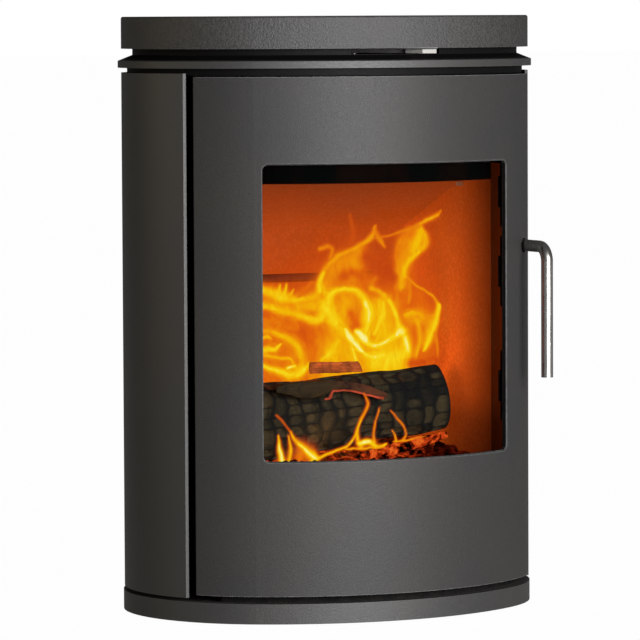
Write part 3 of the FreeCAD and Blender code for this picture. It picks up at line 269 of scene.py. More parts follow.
def stovePaint(
    name, grainScale, grainHeight, speckle, edgeColour=paint["wearAndHighlightColour"], gloss=paint["gloss"], lip=False
):
    finish, tree = newFinish(name, paint["colour"], paint["roughness"], gloss=gloss)
    space = objectSpace(tree)
    clouds = noiseOf(tree, space, 9, 3)
    grain = noiseOf(tree, space, grainScale, 5, 0.7)
    orangePeel = noiseOf(tree, space, 160, 2)
    body = blend(tree, remap(tree, clouds, 0.35, 0.7), paint["colour"], paint["warmColour"])
    specks = remap(tree, grain, 0.35, 0.68, 1 - speckle, 1 + speckle)
    body = blend(tree, 1.0, body, rampGrey(tree, specks), "MULTIPLY")
    # Along the edges the paint takes the given edge colour: by default a lighter mark that is partly wear and
    # partly a painted highlight, on the door a brighter painted highlight, on the sheets darker edges.
    edgePatches = remap(tree, orangePeel, 0.3, 0.7, 0.25, 0.9)
    edgeMarks = times(tree, edgeOf(tree, paint["edgeReach"]), edgePatches)
    body = blend(tree, edgeMarks, body, edgeColour)
    if lip:  # painted shade above and below the lip: the slope, the neck and the skirt are near black with little gloss
        level = axisOf(tree, space, "Z")
        low, lipBottom, lipTop, high = paint["lipLevels"]
        paintedShade = sums(tree, "ADD", remap(tree, level, lipBottom, low), remap(tree, level, lipTop, high), True)
        body = blend(tree, paintedShade, body, paint["neckShadeColour"])
        coatOf(finish, "Specular IOR Level", remap(tree, paintedShade, 0, 1, gloss, 0.05))
    soft = bumpOf(tree, orangePeel, 0.25, 0.0004)
    rough = remap(tree, grain, 0.3, 0.7, paint["roughness"] - 0.1, paint["roughness"] + 0.12)
    return coat(finish, body, bumpOf(tree, grain, 0.8, grainHeight, soft), rough)


def rampGrey(tree, value):
    return feed(tree, "CombineColor", "Color", dict.fromkeys(("Red", "Green", "Blue"), value))


# Bare iron: black and brown from heat, with soot and a little rust
bareIron = {
    "colour": (0.028, 0.026, 0.025),
    "scaleColour": (0.06, 0.05, 0.043),
    "rustColour": (0.11, 0.045, 0.018),
    "roughness": 0.75,
}


def heatedIron(name, rustShare):
    finish, tree = newFinish(name, bareIron["colour"], bareIron["roughness"], gloss=0.3)
    space = objectSpace(tree)
    patches = noiseOf(tree, space, 22, 6, 0.65)
    grain = noiseOf(tree, space, 520, 4, 0.7)
    body = blend(tree, remap(tree, patches, 0.4, 0.72), bareIron["colour"], bareIron["scaleColour"])
    rust = remap(tree, noiseOf(tree, space, 45, 8, 0.75, 0.6), 0.62 - 0.1 * rustShare, 0.75)
    body = blend(tree, times(tree, rust, rustShare), body, bareIron["rustColour"])
    bump = bumpOf(tree, grain, 0.9, 0.0005, bumpOf(tree, patches, 0.5, 0.001))
    return coat(finish, body, bump, remap(tree, patches, 0.3, 0.7, 0.6, 0.9))


# Sheet steel parts inside: dull black coat, rubbed along the edges
innerSteel = {
    "colour": (0.05, 0.048, 0.047),
    "rubbedColour": (0.28, 0.27, 0.26),
    "roughness": 0.5,
}


def coatedSteel(name):
    finish, tree = newFinish(name, innerSteel["colour"], innerSteel["roughness"], 0.4, 0.5)
    space = objectSpace(tree, (1, 1, 0.25))
    streaks = noiseOf(tree, space, 240, 4, 0.6)
    scuffs = noiseOf(tree, objectSpace(tree), 60, 6, 0.7, 0.4)
    edgeMarks = times(tree, edgeOf(tree, 0.001), remap(tree, scuffs, 0.35, 0.65))
    edgeMarks = sums(tree, "ADD", edgeMarks, remap(tree, scuffs, 0.68, 0.8, 0, 0.35), True)
    body = blend(tree, edgeMarks, innerSteel["colour"], innerSteel["rubbedColour"])
    rough = remap(tree, streaks, 0.3, 0.7, 0.38, 0.62)
    return coat(finish, body, bumpOf(tree, streaks, 0.3, 0.0002), rough)


# The band behind the top of the glass: steel blued by heat, with brown stains
band = {
    "blueColour": (0.002, 0.0045, 0.0045),
    "brownColour": (0.02, 0.007, 0.004),
    "roughness": 0.45,
}


def bluedSteel(name):
    finish, tree = newFinish(name, band["blueColour"], band["roughness"], 0.0, 0.12)
    stains = noiseOf(tree, objectSpace(tree, (1, 1, 0.3)), 26, 3, 0.5)
    fine = noiseOf(tree, objectSpace(tree), 180, 5, 0.6)
    body = blend(tree, remap(tree, stains, 0.47, 0.58), band["blueColour"], band["brownColour"])
    return coat(finish, body, bumpOf(tree, fine, 0.25, 0.0003), remap(tree, fine, 0.3, 0.7, 0.5, 0.7))


# Stainless steel of the handle and the air lever, brushed along their length
stainless = {
    "colour": (0.62, 0.6, 0.57),
    "darkColour": (0.5, 0.475, 0.445),
    "roughness": 0.27,
}


def brushedSteel(name, stretch, metallic=1.0):
    finish, tree = newFinish(name, stainless["colour"], stainless["roughness"], metallic)
    lines = noiseOf(tree, objectSpace(tree, stretch), 1500, 3, 0.6)
    smears = noiseOf(tree, objectSpace(tree), 35, 3)
    body = blend(tree, remap(tree, lines, 0.3, 0.7, 0, 0.7), stainless["colour"], stainless["darkColour"])
    rough = sums(tree, "ADD", remap(tree, lines, 0.3, 0.7, 0.2, 0.34), remap(tree, smears, 0.4, 0.7, 0, 0.06))
    return coat(finish, body, bumpOf(tree, lines, 0.25, 0.00005), rough)


screws = {
    "colour": (0.22, 0.215, 0.2),
    "brightColour": (0.3, 0.29, 0.27),
    "stainColour": (0.1, 0.085, 0.07),
    "roughness": 0.4,
}


def screwSteel(name):
    finish, tree = newFinish(name, screws["colour"], screws["roughness"], 0.9)
    space = objectSpace(tree)
    turning = noiseOf(tree, space, 700, 4, 0.6)
    stains = noiseOf(tree, space, 90, 6, 0.7)
    body = blend(tree, remap(tree, stains, 0.4, 0.7), screws["brightColour"], screws["stainColour"])
    return coat(finish, body, bumpOf(tree, turning, 0.3, 0.0002), remap(tree, stains, 0.3, 0.7, 0.3, 0.6))


# Ceramic glass, clear with a faint, patchy haze
glass = {
    "colour": (0.012, 0.011, 0.01),
    "roughness": 0.04,
    "haze": 0.05,
    "alpha": 0.03,
    "gloss": 0.1,
}


def ceramicGlass(name):
    finish, tree = newFinish(name, glass["colour"], glass["roughness"], gloss=glass["gloss"])
    coatOf(finish, "Alpha", glass["alpha"])
    haze = noiseOf(tree, objectSpace(tree), 30, 3)
    rough = remap(tree, haze, 0.4, 0.7, glass["roughness"], glass["roughness"] + glass["haze"])
    coatOf(finish, "Roughness", rough)
    return finish


# Glass fibre rope, knitted
rope = {
    "colour": (0.17, 0.165, 0.155),
    "gapColour": (0.035, 0.034, 0.032),
    "fluffColour": (0.3, 0.29, 0.27),
    "stitch": 420,
    "sheen": 0.3,
}


def knittedRope(name):
    finish, tree = newFinish(name, rope["colour"], 0.9, gloss=0.2)
    space = objectSpace(tree)
    stitches = cellsOf(tree, space, rope["stitch"], spread=0.35)
    fluff = noiseOf(tree, space, 1800, 4, 0.7)
    body = blend(tree, remap(tree, stitches, 0.2, 0.75), rope["colour"], rope["gapColour"])
    body = blend(tree, remap(tree, fluff, 0.4, 0.7, 0, 0.25), body, rope["fluffColour"])
    coatOf(finish, "Sheen Weight", rope["sheen"])
    return coat(finish, body, bumpOf(tree, stitches, -0.9, 0.001, bumpOf(tree, fluff, 0.4, 0.0002)))


# Firebox boards: pressed mineral board. Their glow is painted fire light, an emission that falls off with
# height, towards the glass and on faces turned from the fire. They are darker near the glass and towards the
# top.
board = {
    "colour": (0.22, 0.14, 0.08),
    "flakeColour": (0.31, 0.2, 0.115),
    "stainColour": (0.03, 0.014, 0.009),
    "flake": 240,
    "darkFront": -0.125,  # y at which the boards are dark
    "darkEnd": -0.02,
    # colour of the painted fire light on the boards
    "glowColour": (1.0, 0.122, 0.01),
    "paintedLightCentre": (0, -0.03, 0.28),
    "paintedLightSpread": (1, 1, 0.5),
    "leastPaintedLight": 0.4,
    "paintedLightHeights": (
        (0.14, 0.1), (0.19, 0.2), (0.22, 0.42), (0.27, 0.5), (0.32, 0.47),
        (0.37, 0.41), (0.4, 0.35), (0.43, 0.27), (0.46, 0.2),
    ),
    "paintedLightDepths": (  # the last is inside the rear board's slot
        (-0.14, 0.1), (-0.129, 0.2), (-0.102, 0.44), (-0.057, 0.9), (0.03, 1.1), (0.0632, 1.25), (0.067, 0.1),
    ),
}


def scaleOf(tree, value, stops):
    # A plain number that follows the stops
    low, high = stops[0][0], stops[-1][0]
    greys = [((place - low) / (high - low), (share / 2,) * 3) for place, share in stops]
    ramp = rampOf(tree, remap(tree, value, low, high), greys)
    return times(tree, feed(tree, "SeparateColor", "Red", {"Color": ramp}), 2.0)


def towardsFire(tree, vector):
    # 1 on faces that look at the fire, 0 on their backs and edges: where the painted fire light falls
    away = vectorSums(tree, "SUBTRACT", board["paintedLightCentre"], vector)
    away = vectorSums(tree, "NORMALIZE", vectorSums(tree, "MULTIPLY", away, board["paintedLightSpread"]))
    return remap(tree, vectorSums(tree, "DOT_PRODUCT", away, normalOf(tree)), 0.02, 0.25)


def fireBoard(name):
    finish, tree = newFinish(name, board["colour"], 0.95, gloss=0.1)
    space = objectSpace(tree)
    flakes = cellsOf(tree, space, board["flake"])
    clouds = noiseOf(tree, space, 14, 5, 0.6)
    body = blend(tree, remap(tree, flakes, 0.1, 0.6), board["flakeColour"], board["colour"])
    # darker towards the front and towards the top, with patches
    front = remap(tree, axisOf(tree, space, "Y"), board["darkEnd"], board["darkFront"])
    top = remap(tree, axisOf(tree, space, "Z"), 0.3, 0.47, 0, 0.65)
    toneMask = sums(tree, "MAXIMUM", front, top)
    toneMask = sums(tree, "ADD", toneMask, remap(tree, clouds, 0.35, 0.7, -0.18, 0.18), True)
    bump = bumpOf(tree, flakes, 0.4, 0.0005, bumpOf(tree, clouds, 0.4, 0.002))
    # painted fire light: its strength by height and depth, with patches, most on faces that look at the fire
    glowLevel = times(
        tree,
        scaleOf(tree, axisOf(tree, space, "Z"), board["paintedLightHeights"]),
        scaleOf(tree, axisOf(tree, space, "Y"), board["paintedLightDepths"]),
    )
    glowLevel = times(tree, glowLevel, remap(tree, clouds, 0.3, 0.7, 0.86, 1.14))
    glowLevel = times(tree, glowLevel, remap(tree, flakes, 0.1, 0.6, 1.05, 0.95))
    lit = sums(tree, "MAXIMUM", towardsFire(tree, space), board["leastPaintedLight"])
    body = blend(tree, toneMask, body, board["stainColour"])
    return coat(finish, body, bump, None, (*board["glowColour"], 1), times(tree, glowLevel, lit))


# Charred wood: black blocks, with brown left on their faces
char = {
    "gapColour": (0.0006, 0.0012, 0.0013),
    "faceColour": (0.036, 0.026, 0.011),
    "ashColour": (0.05, 0.048, 0.04),
    "glowColour": (0.6, 0.085, 0.04),
    "splitColour": (0.026, 0.016, 0.005),
    "glowingColour": (0.3, 0.05, 0.02),
    # the back log: its orange colour is painted flame light, and its glow is partly the wood's own heat and
    # partly painted flame light
    "flameLitColour": (0.2, 0.05, 0.014),
    "flameLitGlow": (0.62, 0.12, 0.02),
}


def charredWood(name, faceColour, glowColour=char["glowColour"]):
    finish, tree = newFinish(name, char["gapColour"], 0.9, gloss=0.15)
    space = objectSpace(tree)
    proud = attributeOf(tree, "proud")
    grain = noiseOf(tree, objectSpace(tree, (0.3, 1, 1)), 420, 6, 0.7)
    patches = noiseOf(tree, space, 55, 5, 0.65)
    face = times(tree, remap(tree, proud, 0, 0.5), remap(tree, patches, 0.3, 0.48), True)
    face = times(tree, face, remap(tree, grain, 0.3, 0.65, 0.45, 1))
    body = blend(tree, face, char["gapColour"], faceColour)
    ash = remap(tree, noiseOf(tree, space, 90, 8, 0.8), 0.7, 0.82, 0, 0.3)
    bump = bumpOf(tree, grain, 0.7, 0.0008, bumpOf(tree, patches, 0.6, 0.0016))
    glow = times(tree, attributeOf(tree, "hot"), remap(tree, patches, 0.3, 0.6, 0.35, 1))
    return coat(finish, blend(tree, ash, body, char["ashColour"]), bump, None, (*glowColour, 1), glow)


# Embers: dark grey coal that glows from deep red to orange
emberTones = {
    "colour": (0.02, 0.017, 0.015),
    "darkColour": (0.01, 0.005, 0.004),
    "ashColour": (0.04, 0.02, 0.014),
    "heats": ((0, (0.3, 0.012, 0.002)), (0.45, (0.62, 0.06, 0.008)), (1, (0.95, 0.2, 0.02))),
}


def emberCoal(name):
    finish, tree = newFinish(name, emberTones["colour"], 0.95, gloss=0.2)
    space = objectSpace(tree)
    cracks = noiseOf(tree, space, 95, 6, 0.65, 0.8)
    ash = noiseOf(tree, space, 210, 6, 0.7)
    ashes = remap(tree, ash, 0.5, 0.72, 0, 0.8)
    body = blend(tree, ashes, emberTones["darkColour"], emberTones["ashColour"])
    glowLevel = times(tree, remap(tree, cracks, 0.42, 0.64), attributeOf(tree, "hot"))
    glow = rampOf(tree, glowLevel, emberTones["heats"])
    return coat(finish, body, bumpOf(tree, ash, 0.8, 0.0015), None, glow, remap(tree, glowLevel, 0, 0.45))


# Flame: its colour by heat, from deep orange to pale yellow
flame = {
    "heats": (
        (0.0, (0.62, 0.06, 0.006)),
        (0.25, (0.8, 0.14, 0.004)),
        (0.5, (0.9, 0.3, 0.003)),
        (0.7, (0.95, 0.5, 0.002)),
        (0.88, (0.99, 0.72, 0.01)),
        (1.0, (1.0, 0.92, 0.3)),
    ),
    "strength": 1.0,
    "flicker": 0.09,
}


def flameGas(name):
    finish, tree = newFinish(name, (0, 0, 0), 1.0, gloss=0.0)
    wisps = noiseOf(tree, objectSpace(tree, (1, 1, 0.4)), 130, 4, 0.6, 0.8)
    flicker = remap(tree, wisps, 0.3, 0.7, -flame["flicker"], flame["flicker"])
    glowLevel = sums(tree, "ADD", attributeOf(tree, "warmth"), flicker, True)
    coatOf(finish, "Alpha", attributeOf(tree, "cover"))
    finish.cycles.emission_sampling = "NONE"
    return coat(finish, None, None, None, rampOf(tree, glowLevel, flame["heats"]), flame["strength"])


# Parts behind the gaps: near black, darker than the stove's paint, as painted shade in the gaps, with soot
gapShade = {
    "colour": (0.004, 0.004, 0.004),
    "darkColour": (0.003, 0.003, 0.003),
    "paleColour": (0.01, 0.009, 0.008),
}


def gapShadeBlack(name):
    finish, tree = newFinish(name, gapShade["colour"], 0.9, gloss=0.1)
    space = objectSpace(tree)
    toneMask = noiseOf(tree, space, 80, 6, 0.7)
    body = blend(tree, remap(tree, toneMask, 0.35, 0.7), gapShade["darkColour"], gapShade["paleColour"])
    return coat(finish, body, bumpOf(tree, toneMask, 0.5, 0.0006))


def dress(finish, *names):
    for name in names:
        for slotOfNode in nodes[name].material_slots:
            slotOfNode.material = finish


def dressStove():
    dress(stovePaint("castPaint", 700, 0.00035, 0.1), "base_plate", "top_cover")
    dress(stovePaint("collarPaint", 700, 0.00035, 0.1, lip=True), "collar_ring")
    # the door's edges and window rim get a painted highlight
    dress(stovePaint("doorPaint", 700, 0.00035, 0.1, paint["edgeColour"], 0.25), "door_shell")
    dress(stovePaint("topPaint", 360, 0.0012, 0.35), "top_plate")
    dress(
        stovePaint("sheetPaint", 1100, 0.00015, 0.05, paint["sheetEdgeColour"]),
        "side_panel_left", "side_panel_right", "rear_heat_shield",
    )
    dress(
        heatedIron("fireboxIron", 0.35),
        "outlet_blanking_plate", "flue_spigot",
    )
    dress(
        heatedIron("hearthIron", 0.8),
        "hearth_plate", "grate", "log_guard",
    )
    dress(
        coatedSteel("blackSteel"),
        "ash_box", "ash_pan", "air_box", "air_valve_disc",
        "riddling_plate", "riddling_rails", "shield_bushes",
    )
    # parts in the gaps get near black painted shade
    dress(
        gapShadeBlack("gapShadeBlack"),
        "firebox_wall_left", "firebox_wall_right", "firebox_wall_rear", "firebox_top", "front_frame",
        "hinge_bracket_lower", "hinge_bracket_upper", "latch_keeper", "panel_brackets",
        "glass_clips", "collar_feet", "top_plate_spacers", "handle_bush", "latch_tongue", "latch_nut",
    )
    dress(bluedSteel("bluedSteel"), "airwash_deflector")
    dress(
        screwSteel("screwSteel"),
        "levelling_screws", "hinge_pins", "hinge_washers", "glass_clip_screws", "panel_bracket_screws",
        "shield_screws", "blanking_plate_screws", "spigot_screws", "riddling_rod", "ash_pan_pull",
        "air_valve_spindle",
    )
    dress(brushedSteel("handleSteel", (1, 1, 0.03)), "door_handle")
    dress(brushedSteel("leverSteel", (0.03, 1, 1), 0.4), "air_lever")
    dress(ceramicGlass("ceramicGlass"), "door_glass")
    dress(knittedRope("glassRope"), "door_rope_seal", "glass_gasket")
    dress(fireBoard("fireBoard"), "lining_rear", "baffle", "lining_left", "lining_right", "baffle_rests")


dressStove()
print("finishes put on the stove's pieces")


def addPiece(name, bm, finishes, body="stove"):
    mesh = bpy.data.meshes.new(name)
    bm.to_mesh(mesh)
    bm.free()
    for face in mesh.polygons:
        face.use_smooth = True
    for finish in finishes:
        mesh.materials.append(finish)
    piece = newObject(name, mesh)
    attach(piece, body)
    return piece


def smoothLine(points, share):
    # A smooth line through the points, and where it is at that share of its length
    last = len(points) - 1
    place = min(share * last, last - 1e-6)
    start = int(place)
    part = place - start
    before, here, there, beyond = (
        Vector(points[min(max(start + step, 0), last)]) for step in (-1, 0, 1, 2)
    )
    return 0.5 * (
        2 * here
        + (there - before) * part
        + (2 * before - 5 * here + 4 * there - beyond) * part**2
        + (3 * here - before - 3 * there + beyond) * part**3
    )


def longTube(bm, sides, rings):
    # A capped tube of unit radius and length, with rings along it, in an empty mesh
    bmesh.ops.create_cone(
        bm, cap_ends=True, cap_tris=False, segments=sides, radius1=1, radius2=1, depth=1
    )
    lengthways = [edge for edge in bm.edges if abs(edge.verts[0].co.z - edge.verts[1].co.z) > 0.5]
    bmesh.ops.subdivide_edges(bm, edges=lengthways, cuts=rings - 1, use_grid_fill=True)


# The bed of embers lies on the hearth, between the boards and behind the log guard
embers = {
    "margin": 0.0012,
    "crest": 0.154,
    "rise": 0.002,  # the bed is higher on the right
    "swell": 0.006,
    "cell": 0.0026,
    "dimFrom": 0.05,
    "dimTo": 0.095,
    "coals": 200,
    "coalSize": (0.004, 0.009),
    "seed": 11,
}


def emberHeight(x, y):
    spot = Vector((x, y, 0))
    share = min(max((x + 0.05) / 0.15, 0), 1)
    height = embers["crest"] + embers["rise"] * share**2 * (3 - 2 * share)
    height += embers["swell"] * noise.noise(spot * 24)
    height += 0.35 * embers["swell"] * noise.noise(spot * 90)
    height += 0.18 * embers["swell"] * noise.noise(spot * 260)
    return height


def emberHeat(x):
    # The embers are dim at the right
    return min(max((embers["dimTo"] - x) / (embers["dimTo"] - embers["dimFrom"]), 0.2), 1)


def emberBox():
    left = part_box("lining_left")[1].x + embers["margin"]
    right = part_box("lining_right")[0].x - embers["margin"]
    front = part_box("log_guard")[1].y + embers["margin"]
    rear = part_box("lining_rear")[0].y - embers["margin"]
    return left, right, front, rear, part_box("hearth_plate")[1].z + 0.0003


def emberBed(finish):
    left, right, front, rear, floor = emberBox()
    bm = bmesh.new()
    hot = bm.verts.layers.float.new("hot")
    bmesh.ops.create_grid(
        bm,
        x_segments=round((right - left) / embers["cell"]),
        y_segments=round((rear - front) / embers["cell"]),
        size=0.5,
    )
    for corner in bm.verts:
        x = left + (corner.co.x + 0.5) * (right - left)
        y = front + (corner.co.y + 0.5) * (rear - front)
        corner.co = (x, y, emberHeight(x, y))
        corner[hot] = (0.4 + 0.45 * max(0, min(1, (y - front) / 0.03))) * emberHeat(x)
    rim = [edge for edge in bm.edges if edge.is_boundary]
    skirt = bmesh.ops.extrude_edge_only(bm, edges=rim)["geom"]
    for corner in (part for part in skirt if isinstance(part, bmesh.types.BMVert)):
        corner.co.z = floor
        corner[hot] = 0
    bmesh.ops.holes_fill(bm, edges=[edge for edge in bm.edges if edge.is_boundary])
    bmesh.ops.recalc_face_normals(bm, faces=bm.faces)
    return addPiece("ember_bed", bm, [finish])


def addCoals(finish):
    left, right, front, rear = emberBox()[:4]
    dice = random.Random(embers["seed"])
    bm = bmesh.new()
    hot = bm.verts.layers.float.new("hot")
    small, large = embers["coalSize"]
    for count in range(embers["coals"]):
        size = dice.uniform(small, large)
        x = dice.uniform(left + size, right - size)
        y = front + size + (rear - front - 2 * size) * dice.random() ** 1.6
        turned = Matrix.Rotation(dice.uniform(0, math.tau), 4, dice.choice("XYZ"))
        shape = Matrix.Diagonal((1, dice.uniform(0.55, 1), dice.uniform(0.45, 0.8), 1))
        spot = Matrix.Translation((x, y, emberHeight(x, y) + size * 0.12))
        coal = bmesh.ops.create_icosphere(bm, subdivisions=2, radius=size, matrix=spot @ turned @ shape)
        glow = 0.75 * dice.random() * emberHeat(x)
        for corner in coal["verts"]:
            away = corner.co - Vector((x, y, emberHeight(x, y)))
            corner.co += away * 0.35 * noise.noise(corner.co * 260 + Vector((count, 0, 0)))
            corner[hot] = glow
    return addPiece("coals", bm, [finish])


# Logs: the middle lines of what shows are given by their pixels in the photograph
frontLog = {
    "line": ((268, 421), (439.5, 396.5)),
    "depth": (-0.049, -0.045),
    "radius": (0.0415, 0.0355),
    "flat": 0.7,
    "sides": 22,
    "block": 0.0175,
    "crack": 0.0046,
    "slant": 0.002,  # how far the sawn end leans
    "hot": 0.0,
    "toWall": True,
    "seed": 4,
}
backLog = {
    "line": ((310, 368), (360, 366.5)),
    "depth": (-0.011, -0.011),
    "radius": (0.0072, 0.0066),
    "flat": 0.6,
    "sides": 16,
    "block": 0.012,
    "crack": 0.001,
    "slant": 0.003,
    "hot": 0.62,
    "toWall": False,
    "seed": 9,
}


blocks = {
    "endRings": (0.002, 0.004),
    "gap": 0.0009,
    "height": 0.0045,
    "lift": 0.0025,    # how far a block may stand below the highest
    "border": 0.0011,  # keeps a block's corners when it is rounded
    "joinedAlong": 0.2,
    "joinedRound": 0.12,
}


def joinBlocks(bm, way, dice):
    # Joins some neighbouring faces, so that the blocks differ in size
    taken = set()
    seams = []
    for edge in bm.edges:
        lengthways = abs((edge.verts[0].co - edge.verts[1].co).normalized().dot(way)) > 0.6
        beside = edge.link_faces
        free = len(beside) == 2 and not any(face in taken or len(face.verts) != 4 for face in beside)
        if free and dice.random() < blocks["joinedAlong" if lengthways else "joinedRound"]:
            taken.update(beside)
            seams.append(edge)
    bmesh.ops.dissolve_edges(bm, edges=seams, use_verts=False)
    bm.normal_update()


def charredLog(name, log, finish):
    # Cracks run round and along the log and leave blocks, which stand proud
    start, end = (photoPoint(*pixel, depth) for pixel, depth in zip(log["line"], log["depth"]))
    way = (end - start).normalized()
    if log["toWall"]:
        start = start - way * ((start.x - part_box("lining_left")[1].x) / way.x - 0.004)
    length = (end - start).length
    bm = bmesh.new()
    proud = bm.verts.layers.float.new("proud")
    hot = bm.verts.layers.float.new("hot")
    longTube(bm, log["sides"], round(length / log["block"]))
    dice = random.Random(log["seed"])
    upward = way.cross(Vector((0, 1, 0))).normalized() * -1
    across = way.cross(upward)
    for corner in bm.verts:
        share = corner.co.z + 0.5
        seed = Vector((share * length * 14, corner.co.x * 0.8, corner.co.y * 0.8 + log["seed"]))
        size = log["radius"][0] + (log["radius"][1] - log["radius"][0]) * share
        size *= 1 + 0.1 * noise.noise(seed) + 0.04 * noise.noise(seed * 3.1)
        along = share * length + dice.uniform(-0.3, 0.3) * log["block"] * (0.001 < share < 0.999)
        along += log["slant"] * corner.co.y * (share > 0.999)
        corner.co = (
            start + way * along
            + across * corner.co.x * size * log["flat"]
            + upward * corner.co.y * size
        )
    joinBlocks(bm, way, dice)
    ends = [face for face in bm.faces if len(face.verts) == log["sides"]]
    sideFaces = [face for face in bm.faces if face not in ends]
    for thickness in blocks["endRings"]:
        bmesh.ops.inset_individual(bm, faces=ends, thickness=thickness, depth=0)
    bmesh.ops.inset_individual(bm, faces=sideFaces, thickness=blocks["gap"], depth=blocks["height"])
    for face in sideFaces:
        lift = dice.random()
        middle = face.calc_center_median()
        for corner in face.verts:
            corner[proud] = lift
            side = (corner.co - middle).dot(way)
            corner.co -= way * math.copysign(log["crack"] * dice.uniform(0.6, 1.2), side)
            corner.co -= face.normal * (1 - lift) * blocks["lift"]
    lifts = [face.verts[0][proud] for face in sideFaces]
    bmesh.ops.inset_individual(bm, faces=sideFaces, thickness=blocks["border"], depth=0)
    for face, lift in zip(sideFaces, lifts):
        for corner in face.verts:
            corner[proud] = lift
    for corner in bm.verts:
        corner[hot] = log["hot"]
    bmesh.ops.recalc_face_normals(bm, faces=bm.faces)
    piece = addPiece(name, bm, [finish])
    rounding = piece.modifiers.new("rounding", "SUBSURF")
    rounding.levels = 2
    rounding.render_levels = 2
    return piece


